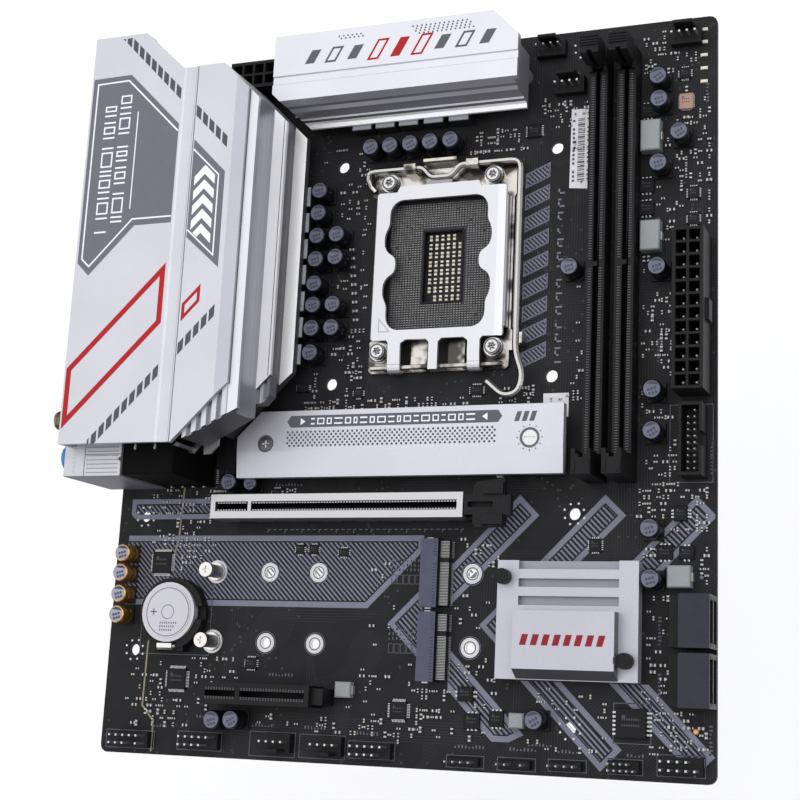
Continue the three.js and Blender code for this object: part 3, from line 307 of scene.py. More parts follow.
# ------------------------------------------------------------------ mesh building
class Part:
    def __init__(self, name, body="board"):
        self.name, self.body = name, body
        self.v, self.f, self.k, self.s, self.mats = [], [], [], [], []

    def mi(self, m):
        if m not in self.mats:
            self.mats.append(m)
        return self.mats.index(m)

    def add(self, vs, fs, m, smooth=False):
        o = len(self.v)
        self.v += [tuple(p) for p in vs]
        i = self.mi(m)
        for f in fs:
            self.f.append([o + a for a in f])
            self.k.append(i)
            self.s.append(smooth)

    def prism(self, pts, z0, z1, m, side=None, top_inset=0.0):
        a = sum(p[0] * q[1] - q[0] * p[1] for p, q in zip(pts, pts[1:] + pts[:1]))
        if a < 0:
            pts = pts[::-1]
        n = len(pts)
        vs = [(x, y, z0) for x, y in pts] + [(x, y, z1) for x, y in pts]
        self.add(vs, [list(range(n))[::-1]], side or m)
        self.add(vs, [list(range(n, 2 * n))], m)
        self.add(vs, [[i, (i + 1) % n, n + (i + 1) % n, n + i] for i in range(n)], side or m)

    def box(self, x0, x1, y0, y1, z0, z1, m, ch=0.0):
        if ch <= 0:
            vs = [(x0, y0, z0), (x1, y0, z0), (x1, y1, z0), (x0, y1, z0), (x0, y0, z1), (x1, y0, z1), (x1, y1, z1), (x0, y1, z1)]
            self.add(vs, [[3, 2, 1, 0], [4, 5, 6, 7], [0, 1, 5, 4], [1, 2, 6, 5], [2, 3, 7, 6], [3, 0, 4, 7]], m)
            return
        c = min(ch, (x1 - x0) * 0.45, (y1 - y0) * 0.45, (z1 - z0) * 0.8)
        vs = []
        for d, z in ((0, z0), (0, z1 - c), (c, z1)):
            vs += [(x0 + d, y0 + d, z), (x1 - d, y0 + d, z), (x1 - d, y1 - d, z), (x0 + d, y1 - d, z)]
        fs = [[3, 2, 1, 0], [8, 9, 10, 11]]
        for r in (0, 4):
            fs += [[r + i, r + (i + 1) % 4, r + 4 + (i + 1) % 4, r + 4 + i] for i in range(4)]
        self.add(vs, fs, m)

    def rev(self, x, y, prof, m, n=20, smooth=True, mats=None):
        """profile of (radius, height) from the bottom up, turned about a vertical line; both ends closed"""
        rings = []
        base = len(self.v)
        vs = []
        for r, z in prof:
            rings.append(len(vs))
            vs += [(x + r * math.cos(2 * math.pi * i / n), y + r * math.sin(2 * math.pi * i / n), z) for i in range(n)]
        self.v += vs
        def face(idx, mm, sm):
            self.f.append([base + a for a in idx]); self.k.append(self.mi(mm)); self.s.append(sm)
        face(list(range(n))[::-1], m, False)
        for j in range(len(prof) - 1):
            mm = mats[j] if mats else m
            a, b = rings[j], rings[j + 1]
            for i in range(n):
                face([a + i, a + (i + 1) % n, b + (i + 1) % n, b + i], mm, smooth)
        face([rings[-1] + i for i in range(n)], mats[-1] if mats else m, False)

    def rod(self, p, q, r, m, n=10, r2=None, smooth=True):
        p, q = Vector(p), Vector(q)
        d = (q - p).normalized()
        u = d.orthogonal().normalized()
        w = d.cross(u)
        r2 = r if r2 is None else r2
        vs = [p + (u * math.cos(2 * math.pi * i / n) + w * math.sin(2 * math.pi * i / n)) * r for i in range(n)]
        vs += [q + (u * math.cos(2 * math.pi * i / n) + w * math.sin(2 * math.pi * i / n)) * r2 for i in range(n)]
        self.add(vs, [[i, (i + 1) % n, n + (i + 1) % n, n + i] for i in range(n)], m, smooth)
        self.add(vs, [list(range(n))[::-1], list(range(n, 2 * n))], m)

    def ringflat(self, x, y, r0, r1, z0, z1, m, n=24):
        vs = []
        for r, z in ((r0, z0), (r1, z0), (r1, z1), (r0, z1)):
            vs += [(x + r * math.cos(2 * math.pi * i / n), y + r * math.sin(2 * math.pi * i / n), z) for i in range(n)]
        fs = []
        for a in range(4):
            b = (a + 1) % 4
            fs += [[a * n + i, a * n + (i + 1) % n, b * n + (i + 1) % n, b * n + i] for i in range(n)]
        self.add(vs, fs, m)

    def stroke(self, pts, w, z0, z1, m, closed=False):
        """a mitred line of width w through the points"""
        n = len(pts)
        P = [Vector((p[0], p[1])) for p in pts]
        L, R = [], []
        for i in range(n):
            a = P[i - 1] if (i or closed) else None
            b = P[(i + 1) % n] if (i < n - 1 or closed) else None
            d1 = (P[i] - a).normalized() if a is not None else None
            d2 = (b - P[i]).normalized() if b is not None else None
            t = (d1 + d2).normalized() if d1 is not None and d2 is not None else (d1 if d2 is None else d2)
            nn = Vector((-t.y, t.x))
            k = 1.0
            if d1 is not None and d2 is not None:
                k = 1 / max(0.3, abs(nn.dot(Vector((-d1.y, d1.x)))))
            L.append(P[i] + nn * (w / 2 * k))
            R.append(P[i] - nn * (w / 2 * k))
        seg = n if closed else n - 1
        for i in range(seg):
            j = (i + 1) % n
            self.prism([tuple(R[i]), tuple(R[j]), tuple(L[j]), tuple(L[i])], z0, z1, m)

    def make(self, bevel=0.0, smooth_angle=None):
        me = bpy.data.meshes.new(self.name)
        me.from_pydata([W(p) for p in self.v], [], self.f)
        for m in self.mats:
            me.materials.append(M[m])
        me.polygons.foreach_set("material_index", self.k)
        me.polygons.foreach_set("use_smooth", self.s)
        me.update()
        o = bpy.data.objects.new(self.name, me)
        bpy.context.scene.collection.objects.link(o)
        if bevel:
            b = o.modifiers.new("edge", "BEVEL")
            b.width = bevel * 1e-3
            b.segments = 2
            b.limit_method = "ANGLE"
            b.angle_limit = math.radians(40)
            b.harden_normals = False
        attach(o, self.body)
        return o


def clip(poly, keep):
    """the part of a convex polygon on the side of a line where keep(point) >= 0"""
    out = []
    for i, p in enumerate(poly):
        q = poly[(i + 1) % len(poly)]
        a, b = keep(p), keep(q)
        if a >= 0:
            out.append(p)
        if (a > 0 > b) or (a < 0 < b):
            t = a / (a - b)
            out.append((p[0] + (q[0] - p[0]) * t, p[1] + (q[1] - p[1]) * t))
    return out


def hatch(part, poly, pitch, width, z0, z1, m, direction=(1, -1)):
    """parallel strips of the polygon, cut to its outline"""
    L = math.hypot(*direction)
    nx, ny = -direction[1] / L, direction[0] / L
    d = [p[0] * nx + p[1] * ny for p in poly]
    k = math.floor(min(d) / pitch) * pitch
    while k < max(d):
        c = clip(poly, lambda p: p[0] * nx + p[1] * ny - k)
        if len(c) > 2:
            c = clip(c, lambda p: k + width - (p[0] * nx + p[1] * ny))
        if len(c) > 2 and abs(sum(p[0] * q[1] - q[0] * p[1] for p, q in zip(c, c[1:] + c[:1]))) > 0.08:
            part.prism(c, z0, z1, m)
        k += pitch


# ------------------------------------------------------------------ finishes of the CAD nodes
NODE_MAT = {
    "pcb": "mask", "socket_backplate": "zinc", "cpu_socket": "field", "ilm_frame": "frame_steel_painted_reflections", "load_plate": "steel_plate", "load_lever": "rod_steel",
    # the top regulator heatsink takes a lighter copy of the alloy as painted light
    "io_cover": "silver", "vrm_heatsink_left": "silver", "vrm_heatsink_top": "silver_painted_lit", "chipset": "green", "chipset_heatsink": "silver_dim_and_shade",
    "sata_block_1": "slate_dark", "sata_block_2": "slate_dark", "pcie_x16_armor": "armor", "m2_heatsink": "silver",
    "m2_connector_1": "slate", "m2_connector_2": "slate", "m2_connector_3": "slate", "coin_cell": "cell", "battery_clip": "nickel",
    "audio_jacks": "zinc", "wireless_module": "black", "network_stack": "zinc", "usb_stack_1": "zinc", "usb_stack_2": "zinc", "usb_stack_3": "zinc", "display_stack": "zinc",
    "m2_heatsink_screw": "screw_steel", "m2_lock_knob": "screw_steel",
}
for n in ("ilm_screw_1", "ilm_screw_2", "ilm_screw_3", "ilm_screw_4", "m2_post_1", "m2_post_2", "m2_standoff_2", "m2_standoff_3", "m2_screw_2", "m2_screw_3"):
    NODE_MAT[n] = "screw_steel" if n.startswith("ilm") else "nickel"
EDGE = {
    "io_cover": 0.25, "vrm_heatsink_left": 0.2, "vrm_heatsink_top": 0.25, "chipset_heatsink": 0.25, "m2_heatsink": 0.3,
    "dimm_slot_1": 0.15, "dimm_slot_2": 0.15, "dimm_latch_1": 0.25, "dimm_latch_2": 0.25, "atx_connector": 0.15, "eps_connector": 0.15,
    "sata_block_1": 0.25, "sata_block_2": 0.25, "pcie_x16_latch": 0.25, "pcie_x4_slot": 0.15, "pcie_x16_armor": 0.08,
    "load_plate": 0.12, "cpu_socket": 0.12, "m2_connector_1": 0.12, "m2_connector_2": 0.12, "m2_connector_3": 0.12, "battery_holder": 0.2, "coin_cell": 0.25,
}


def lay(o, name):
    o.data.materials.clear()
    o.data.materials.append(M[name])


for name, o in NODES.items():
    lay(o, NODE_MAT.get(name, "black"))
    if name in EDGE:
        d = o.modifiers.new("flat", "DECIMATE")
        d.decimate_type = "DISSOLVE"
        d.angle_limit = math.radians(1.0)
        b = o.modifiers.new("edge", "BEVEL")
        b.width = EDGE[name] * 1e-3
        b.segments = 2
        b.limit_method = "ANGLE"
        b.angle_limit = math.radians(35)
        b.use_clamp_overlap = True


# smooth the rod and the round heads, so facets don't show
def smooth(name, deg):
    me = NODES[name].data
    me.polygons.foreach_set("use_smooth", [True] * len(me.polygons))
    bm = bmesh.new()
    bm.from_mesh(me)
    lim = math.radians(deg)
    marks = []
    for e in bm.edges:
        marks.append(len(e.link_faces) == 2 and e.calc_face_angle(0.0) > lim)
    bm.free()
    a = me.attributes.get("sharp_edge") or me.attributes.new("sharp_edge", "BOOLEAN", "EDGE")
    a.data.foreach_set("value", marks)


for n in ("load_lever", "ilm_screw_1", "ilm_screw_2", "ilm_screw_3", "ilm_screw_4", "coin_cell", "push_pin_1", "push_pin_2", "battery_holder",
          "m2_post_1", "m2_post_2", "m2_standoff_2", "m2_standoff_3", "m2_screw_2", "m2_screw_3", "m2_heatsink_screw", "m2_lock_knob"):
    smooth(n, 42)

# ------------------------------------------------------------------ board print
P0, P1 = 0.0, 0.03
pr = Part("board_print")
hp = Part("board_hatch")


def band(poly, border, pitch=1.3, width=0.55, skip=()):
    """printed band: a plain border and slanting hatching inside"""
    n = len(poly)
    a = sum(p[0] * q[1] - q[0] * p[1] for p, q in zip(poly, poly[1:] + poly[:1]))
    if a < 0:
        poly = poly[::-1]
    inner = list(poly)
    for i in range(n):
        if i in skip:
            continue
        p, q = poly[i], poly[(i + 1) % n]
        L = math.hypot(q[0] - p[0], q[1] - p[1])
        nx, ny = -(q[1] - p[1]) / L, (q[0] - p[0]) / L
        side = clip(list(poly), lambda s: border - ((s[0] - p[0]) * nx + (s[1] - p[1]) * ny))
        # the border pieces meet at their corners, so each keeps clear of the ones before it
        for j in range(i):
            if j in skip:
                continue
            r, t = poly[j], poly[(j + 1) % n]
            M2 = math.hypot(t[0] - r[0], t[1] - r[1])
            ux, uy = -(t[1] - r[1]) / M2, (t[0] - r[0]) / M2
            side = clip(side, lambda s: (s[0] - r[0]) * ux + (s[1] - r[1]) * uy - border) if side else side
        if len(side) > 2:
            pr.prism(side, P0, P1, "print")
        inner = clip(inner, lambda s: (s[0] - p[0]) * nx + (s[1] - p[1]) * ny - border - 0.45)
    hatch(hp, inner, pitch, width, P0, P1, "print")


band([(6.2, 79.0), (41.0, 79.0), (41.0, 86.0), (4.4, 86.0), (4.4, 80.6)], 1.7, 1.25, 0.55)
band([(4.2, 49.6), (96.0, 49.6), (114.8, 68.4), (114.8, 73.3), (4.2, 73.3)], 1.9, 1.25, 0.55, skip=(4,))
band([(124.9, 51.2), (153.6, 79.6), (147.1, 86.2), (124.9, 63.8)], 1.8, 1.35, 0.6, skip=(3,))
band([(149.4, 60.2), (162.4, 60.2), (181.8, 79.4), (175.0, 86.0)], 1.8, 1.35, 0.6, skip=(0,))
band([(178.2, 59.6), (190.6, 59.6), (209.5, 78.4), (209.5, 79.6), (203.9, 85.3)], 1.8, 1.35, 0.6, skip=(0,))
band([(142.6, 37.0), (142.6, 52.8), (134.7, 44.9)], 1.7, 1.35, 0.6, skip=(0,))
band([(115.2, 33.2), (115.2, 56.6), (103.4, 44.9)], 1.7, 1.35, 0.6, skip=(0,))
band([(124.9, 24.6), (140.0, 9.4), (145.6, 9.4), (150.4, 11.8), (124.9, 37.3)], 1.8, 1.35, 0.6, skip=(4,))
band([(148.8, 28.2), (174.8, 2.1), (181.4, 8.7), (161.9, 28.2)], 1.8, 1.35, 0.6, skip=(3,))
band([(177.2, 28.2), (203.5, 1.9), (209.5, 7.9), (189.4, 28.2)], 1.8, 1.35, 0.6, skip=(3,))

# pads round the drive holes, plated rings, and the dots round the standoff holes
pads = Part("plated_pads")
for y in (61.0, 37.75):
    for x in (77.9, 59.9, 131.9):
        pads.ringflat(x, y, 1.72, 3.15, 0.0, 0.05, "tin", 28)
        pads.ringflat(x, y, 1.5, 1.69, -1.5, 0.06, "nickel", 24)
        # painted shade: a dark ring at the mouth of each hole
        pads.ringflat(x, y, 1.75, 2.1, 0.03, 0.065, "painted_shade_deep", 24)
        pads.ringflat(x, y, 2.75, 2.9, 0.03, 0.065, "steel_dim_and_shade", 24)
        pr.ringflat(x, y, 3.5, 3.75, P0, P1, "print_dim", 28)
    pads.ringflat(39.9, y, 3.1, 3.9, 0.0, 0.04, "tin", 28)
HOLES = [(10.16, 80.01), (10.16, 34.29), (165.1, 80.01), (165.1, 14.4), (33.02, 237.49), (165.1, 237.49)]
for x, y in HOLES:
    for i in range(8):
        a = math.pi * (i + 0.5) / 4
        r = 3.5 if i % 2 else 3.3
        pads.rev(x + r * math.cos(a), y + r * math.sin(a), [(0.42, 0.0), (0.42, 0.06), (0.28, 0.09)], "tin", 8)
for x, y in ((78.4, 202.75), (156.4, 202.75), (78.4, 124.75), (156.4, 124.75)):
    pads.ringflat(x, y, 2.2, 2.42, 0.0, 0.03, "print_dim", 28)

# the bare guard track that fences the sound section
tr = Part("guard_track")
tr.stroke([(24.9, 92.6), (24.3, 78.7), (24.1, 72.5), (21.4, 61.0), (16.2, 44.0), (15.2, 36.2), (14.9, 15.9), (19.6, 10.9), (19.6, 0.9)], 0.6, 0.0, 0.02, "olive")


# tick marks and frames that stand for the printed legends
def legend(x, y, n, dx=1.15, h=1.0, w=0.5, vertical=False, m="print_dim"):
    for i in range(n):
        k = (i * 7 + int(x * 3 + y)) % 5
        hh = h * (1.0, 0.6, 0.85, 1.0, 0.45)[k]
        if vertical:
            pr.box(x, x + hh, y + i * dx, y + i * dx + w, P0, P1, m)
        else:
            pr.box(x + i * dx, x + i * dx + w, y, y + hh, P0, P1, m)


for x, y, n in ((60, 90.0, 9), (152, 8.6, 7), (128, 7.0, 9), (146, 7.0, 8), (161.5, 7.0, 6), (183, 6.8, 5), (62, 27.0, 8), (94.5, 9.6, 7), (36, 12.6, 6), (20, 9.0, 5), (57, 10.6, 7), (76, 10.6, 7)):
    legend(x, y, n)
for x, y, n in ((192.2, 40.0, 8), (192.2, 23.0, 8), (207.8, 8.4, 8), (208.0, 92.0, 8), (191.0, 128.0, 7), (206.4, 214.0, 6), (163.0, 224.0, 5)):
    legend(x, y, n, vertical=True)


def frame_box(x0, x1, y0, y1, w=0.22, m="print_dim"):
    pr.box(x0, x1, y0, y0 + w, P0, P1, m)
    pr.box(x0, x1, y1 - w, y1, P0, P1, m)
    pr.box(x0, x0 + w, y0 + w, y1 - w, P0, P1, m)
    pr.box(x1 - w, x1, y0 + w, y1 - w, P0, P1, m)


for x0, x1, y0, y1 in ((1.9, 20.6, 1.6, 7.6), (29.4, 46.2, 2.0, 8.1), (56.4, 73.1, 1.2, 9.2), (74.4, 90.8, 1.4, 9.0), (91.6, 108.1, 2.1, 7.7), (192.1, 206.8, 1.7, 8.1), (177.1, 188.0, 1.5, 6.2), (125.4, 137.9, 1.0, 4.9), (142.1, 154.6, 0.9, 5.0), (158.4, 170.7, 1.4, 5.2), (178.6, 190.4, 10.6, 22.6), (195.2, 208.9, 89.4, 114.0), (12.0, 38.9, 33.0, 60.6)):
    frame_box(x0, x1, y0, y1)
for y in (61.5, 39.5):
    for i in range(5):
        frame_box(104.0 + i * 2.1, 105.8 + i * 2.1, y - 4.0, y - 1.0, 0.15)
    for j in range(3):
        legend(104.0, y + 0.2 + j * 1.5, 8, 1.3, 0.9, 0.4)
# row of ticks under the long slot
for i in range(34):
    x = 58.0 + i * 2.1
    pr.box(x, x + 1.1, 75.1, 75.45, P0, P1, "print_dim")
    if i % 3 == 0:
        pr.box(x, x + 0.3, 74.2, 75.1, P0, P1, "print_dim")
# slanting bars that stand for the large legend beside the socket
for i in range(9):
    y = 128.0 + i * 7.7
    q = [(146.0, y), (154.0, y + 3.4), (154.0, y + 8.0), (146.0, y + 4.6)]
    hatch(hp, q, 1.15, 0.62, P0, P1, "print")
    pr.stroke(q, 0.5, P0, P1, "print", closed=True)
for i in range(26):
    y = 129.0 + i * 2.3
    if i % 7 == 6:
        continue
    pr.box(157.2, 157.2 + (2.2, 1.4, 1.9, 2.2, 1.1)[i % 5], y, y + 0.55, P0, P1, "print")
    if i % 2:
        pr.box(157.2, 157.75, y, y + 1.8, P0, P1, "print")

# ------------------------------------------------------------------ solid capacitors
cap = Part("solid_capacitors")


def solid_cap(x, y, r=3.12, h=8.0, turn=0.0, side="can", top="can_top", mark="can_mark"):
    cap.box(x - r, x + r, y - r, y + r, 0.1, 0.9, "resist", 0.15)
    cap.rev(x, y, [(r * 0.97, 0.9), (r, 1.2), (r, 1.7), (r * 0.93, 1.95), (r * 0.93, 2.3), (r, 2.55), (r, h - 0.55), (r * 0.93, h - 0.16), (r * 0.84, h), (r * 0.80, h - 0.05)],
            side, 24, True, [side] * 8 + [top, top])
    a0 = turn + 0.55
    pts = [(x + r * 0.78 * math.cos(a0 + t * 0.17), y + r * 0.78 * math.sin(a0 + t * 0.17)) for t in range(12)]
    cap.prism(pts, h - 0.06, h + 0.005, mark)
    # stamped marks on the lid
    ca, sa = math.cos(a0 - 0.3), math.sin(a0 - 0.3)
    for u in (-1.05, 0.0, 1.05):
        for v in (-1.35, 0.0):
            cx, cy = x + (u * ca - v * sa) * r / 3.12, y + (u * sa + v * ca) * r / 3.12
            cap.box(cx - 0.36, cx + 0.36, cy - 0.42, cy + 0.42, h - 0.06, h + 0.005, mark)


for y in (192.1, 184.0, 175.7, 167.3, 158.6, 151.1, 142.9, 134.4):
    solid_cap(73.2, y)
for y in (175.8, 167.7, 151.0, 142.8):
    solid_cap(80.6, y)
for x in (91.6, 98.8, 106.2, 113.5, 120.9):
    solid_cap(x, 206.4, turn=0.2)
for x, y in ((192.1, 221.6), (192.5, 213.6), (199.1, 201.8), (192.4, 191.8), (192.3, 157.3), (191.2, 117.7), (191.2, 104.7), (190.8, 74.6), (191.2, 59.3), (163.6, 159.0),
             (45.8, 88.3), (52.8, 88.3), (45.8, 12.2), (52.8, 12.5), (155.8, 16.4)):
    if (x, y) not in ((45.8, 88.3), (52.8, 88.3)):
        solid_cap(x, y, turn=random.choice((0.0, 0.3)))
solid_cap(45.8, 90.6, 3.0, 8.0)
solid_cap(52.8, 90.4, 2.6, 5.6)
for x, y in ((6.2, 66.7), (6.0, 60.0), (6.0, 52.8), (5.9, 45.8)):
    solid_cap(x, y, 3.0, 7.0, 0.0, "bronze", "cap_pale", "can_mark")

# ------------------------------------------------------------------ chokes
ck = Part("chokes")


def choke(x0, x1, y0, y1, h, m="ferrite", lead=True):
    if m == "ferrite_painted_lit_top":  # painted light: the top gets a pale lit grey and the sides a painted-shade dark grey
        ck.box(x0, x1, y0, y1, 0.25, h - 0.45, "ferrite_painted_shade_side", 0.3)
        ck.box(x0 + 0.1, x1 - 0.1, y0 + 0.1, y1 - 0.1, h - 0.5, h, m, 0.2)
        return
    ck.box(x0, x1, y0, y1, 0.25, h, m, 0.35)
    if lead:
        ym = (y0 + y1) / 2
        ck.box(x0 - 0.35, x0 + 0.4, ym - 1.3, ym + 1.3, 0.1, h * 0.55, "tin")
        ck.box(x1 - 0.4, x1 + 0.35, ym - 1.3, ym + 1.3, 0.1, h * 0.55, "tin")


for y in (190.7, 181.3, 171.8, 162.5, 153.0, 143.8, 134.3):
    choke(59.4, 69.1, y - 3.6, y + 3.6, 6.1, "ferrite_painted_lit_top", lead=False)
for x in (87.1, 95.8, 104.5, 113.7, 122.9):
    choke(x - 3.6, x + 3.6, 213.7, 221.2, 6.0, "ferrite_painted_lit_top", lead=False)
choke(185.7, 192.2, 197.5, 208.0, 4.5)
choke(185.9, 192.4, 163.8, 173.8, 4.5)
choke(195.6, 202.8, 57.0, 63.7, 4.5)
choke(83.9 + 3.4, 89.4 + 3.4, 20.9, 25.9, 3.4)
choke(146.3, 151.2, 13.7, 18.3, 3.2)

# ------------------------------------------------------------------ chips
ic = Part("chips")


def qfp(x0, x1, y0, y1, h=1.2, lead=0.9, pitch=0.5, sides="xy", m="chip", leadm="tin", dot=True):
    ic.box(x0, x1, y0, y1, 0.15, h, m, 0.18)
    def run(a, b):
        n = int((b - a - 0.8) / pitch)
        return [(a + b) / 2 + (i - (n - 1) / 2) * pitch for i in range(n)]
    w = pitch * 0.23
    if "y" in sides:
        for t in run(x0, x1):
            for y, s in ((y0, -1), (y1, 1)):
                ic.box(t - w, t + w, min(y, y + s * lead), max(y, y + s * lead), 0.02, 0.28, leadm)
                ic.box(t - w, t + w, min(y, y + s * lead * 0.4), max(y, y + s * lead * 0.4), 0.2, h * 0.6, leadm)
    if "x" in sides:
        for t in run(y0, y1):
            for x, s in ((x0, -1), (x1, 1)):
                ic.box(min(x, x + s * lead), max(x, x + s * lead), t - w, t + w, 0.02, 0.28, leadm)
                ic.box(min(x, x + s * lead * 0.4), max(x, x + s * lead * 0.4), t - w, t + w, 0.2, h * 0.6, leadm)
    if dot:
        r = min(x1 - x0, y1 - y0) * 0.07
        ic.ringflat(x0 + 4 * r, y1 - 4 * r, 0.02, r, h, h + 0.015, "can_mark", 12)
    for k in range(2):
        yy = y0 + (y1 - y0) * (0.40 + 0.2 * k)
        n = max(3, int((x1 - x0) * 0.9))
        for i in range(n):
            xx = x0 + (x1 - x0) * (0.2 + 0.6 * i / n)
            ic.box(xx, xx + (x1 - x0) * 0.35 / n, yy, yy + (y1 - y0) * 0.07, h - 0.01, h + 0.012, "can_mark")


qfp(15.0, 22.3, 60.3, 67.6)
qfp(24.2, 31.4, 21.6, 28.4)
qfp(105.9, 111.7, 14.9, 20.3)
qfp(179.8, 189.3, 12.2, 21.0, 2.0, 1.3, 1.27, "x")
qfp(197.0, 201.2, 77.5, 82.1, 1.5, 1.0, 1.0, "x")
qfp(128.7, 133.9, 21.2, 25.8, 1.5, 1.0, 1.27, "x")
for x0, x1, y0, y1 in ((191.7, 196.7, 65.7, 70.2), (198.6, 203.2, 65.8, 69.9), (131.0, 136.3, 12.9, 17.7), (139.3, 144.0, 13.8, 18.7), (184.6, 189.6, 176.5, 181.5), (184.6, 189.6, 184.2, 189.2), (184.8, 189.8, 210.0, 215.0)):
    qfp(x0, x1, y0, y1, 1.0, 0.5, 1.27, "y")
for x0, x1, y0, y1 in ((59.0, 62.5, 85.9, 89.2), (85.0, 88.6, 66.2, 69.0), (69.3, 72.4, 67.0, 70.2), (74.2, 77.6, 67.0, 70.2), (170.2, 174.2, 68.0, 72.2), (53.2, 57.4, 29.0, 32.8), (129.0, 133.4, 119.0, 122.6), (87.2, 90.6, 119.6, 122.8),
                       (200.6, 204.4, 181.0, 185.2), (200.6, 204.4, 172.4, 176.4), (197.6, 201.4, 222.4, 226.4)):
    qfp(x0, x1, y0, y1, 0.9, 0.45, 0.65, "xy")
qfp(197.7, 202.3, 211.8, 217.2, 1.1, 0.3, 0.5, "xy", "pink")
for x0, x1, y0, y1 in ((146.0, 151.0, 216.6 - 9.6, 211.8), (66.0, 70.4, 122.2, 125.4), (34.4, 37.2, 90.6, 96.6)):
    qfp(x0, x1, y0, y1, 1.0, 0.6, 0.65, "x")

# ------------------------------------------------------------------ small passives
sm = Part("passives")


def passive(x, y, kind, turn):
    L, Wd, h, m = {"r": (1.0, 0.5, 0.35, "resist"), "c": (1.0, 0.52, 0.5, "tan"), "R": (1.6, 0.8, 0.45, "resist"), "C": (1.6, 0.82, 0.8, "ceramic"), "B": (2.0, 1.25, 1.2, "tan")}[kind]
    a, b = (L / 2, Wd / 2) if not turn else (Wd / 2, L / 2)
    e = L * 0.24
    sm.box(x - a, x + a, y - b, y + b, 0.05, h, m)
    if not turn:
        for s in (-1, 1):
            sm.box(x + s * a - (0.12 if s < 0 else e), x + s * a + (e if s < 0 else 0.12), y - b - 0.03, y + b + 0.03, 0.02, h + 0.03, "tin_end")
    else:
        for s in (-1, 1):
            sm.box(x - a - 0.03, x + a + 0.03, y + s * b - (0.12 if s < 0 else e), y + s * b + (e if s < 0 else 0.12), 0.02, h + 0.03, "tin_end")


# areas that other parts or their neighbours already fill
BUSY = []


def busy(x0, x1, y0, y1, m=0.6):
    BUSY.append((x0 - m, x1 + m, y0 - m, y1 + m))


for n, o in NODES.items():
    if n in ("pcb", "socket_backplate", "io_cover", "vrm_heatsink_left", "vrm_heatsink_top", "load_lever"):
        continue
    lo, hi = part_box(n)
    busy(lo.x * 1e3 + 105, hi.x * 1e3 + 105, lo.y * 1e3 + 121.92, hi.y * 1e3 + 121.92)
for x, y in HOLES:
    busy(x - 4, x + 4, y - 4, y + 4)
for x, y in ((78.4, 202.75), (156.4, 202.75), (78.4, 124.75), (156.4, 124.75)):
    busy(x - 4.4, x + 4.4, y - 4.4, y + 4.4)
for y in (61.0, 37.75):
    for x in (77.9, 59.9, 131.9, 39.9):
        busy(x - 3.8, x + 3.8, y - 3.8, y + 3.8)
busy(39.6, 67.4, 108, 222)
busy(61.3, 149.8, 212.4, 243)
busy(143, 163, 126, 198)


def free(x, y, r=0.9):
    return all(not (a - r < x < b + r and c - r < y < d + r) for a, b, c, d in BUSY)


for cx, cy in [(73.2, y) for y in (192.1, 184.0, 175.7, 167.3, 158.6, 151.1, 142.9, 134.4)] + [(80.6, y) for y in (175.8, 167.7, 151.0, 142.8)] + [(x, 206.4) for x in (91.6, 98.8, 106.2, 113.5, 120.9)] + \
        [(192.1, 221.6), (192.5, 213.6), (199.1, 201.8), (192.4, 191.8), (192.3, 157.3), (191.2, 117.7), (191.2, 104.7), (190.8, 74.6), (191.2, 59.3), (163.6, 159.0), (45.8, 88.3), (52.8, 88.3), (45.8, 12.2), (52.8, 12.5), (155.8, 16.4), (6.2, 66.7), (6.0, 60.0), (6.0, 52.8), (5.9, 45.8)]:
    busy(cx - 3.2, cx + 3.2, cy - 3.2, cy + 3.2, 0.3)
for x0, x1, y0, y1 in ((185.3, 192.6, 197.5, 208.0), (185.5, 192.8, 163.8, 173.8), (195.2, 203.2, 57.0, 63.7), (87, 93.2, 20.9, 25.9), (145.9, 151.6, 13.7, 18.3), (14, 23.3, 59.3, 68.6), (23.2, 32.4, 20.6, 29.4), (104.9, 112.7, 13.9, 21.3),
                       (178.4, 190.6, 12.2, 21.0), (195.9, 202.3, 77.5, 82.1), (127.6, 135, 21.2, 25.8), (191.7, 196.7, 65.0, 70.9), (198.6, 203.2, 65.1, 70.6), (131.0, 136.3, 12.2, 18.4), (139.3, 144.0, 13.1, 19.4), (184.6, 189.8, 175.8, 190), (184.8, 189.8, 209.3, 215.7),
                       (197.2, 202.8, 211.3, 217.7), (126, 138, 1, 5), (142, 155, 1, 5), (158, 171, 1, 5.5), (177, 188.5, 1, 6.4), (148, 160, 234, 241.5), (59, 69.9, 125, 209), (83, 137, 213, 222), (145, 152, 206, 213), (65, 71.2, 121.5, 126), (33.5, 38, 90, 97),
                       (58.4, 63, 85.3, 89.8), (84.4, 89.2, 65.6, 69.6), (68.7, 73, 66.4, 70.8), (73.6, 78.2, 66.4, 70.8), (169.6, 174.8, 67.4, 72.8), (52.6, 58, 28.4, 33.4), (128.4, 134, 118.4, 123.2), (86.6, 91.2, 119, 123.4), (200, 205, 171.8, 185.8), (197, 202, 221.8, 227), (204.5, 207, 218, 241)):
    busy(x0, x1, y0, y1, 0.25)

KINDS = "rrrrrcccRRC"


def scatter(x0, x1, y0, y1, n, kinds=KINDS, gx=1.5, gy=2.0):
    """parts set on a placement grid, in short aligned runs as a layout has them"""
    done = 0
    tries = 0
    while done < n and tries < n * 30:
        tries += 1
        x = x0 + round(random.uniform(0, x1 - x0) / gx) * gx
        y = y0 + round(random.uniform(0, y1 - y0) / gy) * gy
        k = random.choice(kinds)
        turn = random.random() < 0.5
        run = random.choice((1, 1, 2, 3, 4))
        for i in range(run):
            px, py = (x + i * 1.25, y) if turn else (x, y + i * 1.25)
            if px > x1 or py > y1 or not free(px, py):
                break
            passive(px, py, k, turn)
            r = 1.0 if k in "RCB" else 0.62
            BUSY.append((px - r * 0.6, px + r * 0.6, py - r * 0.6, py + r * 0.6))
            done += 1


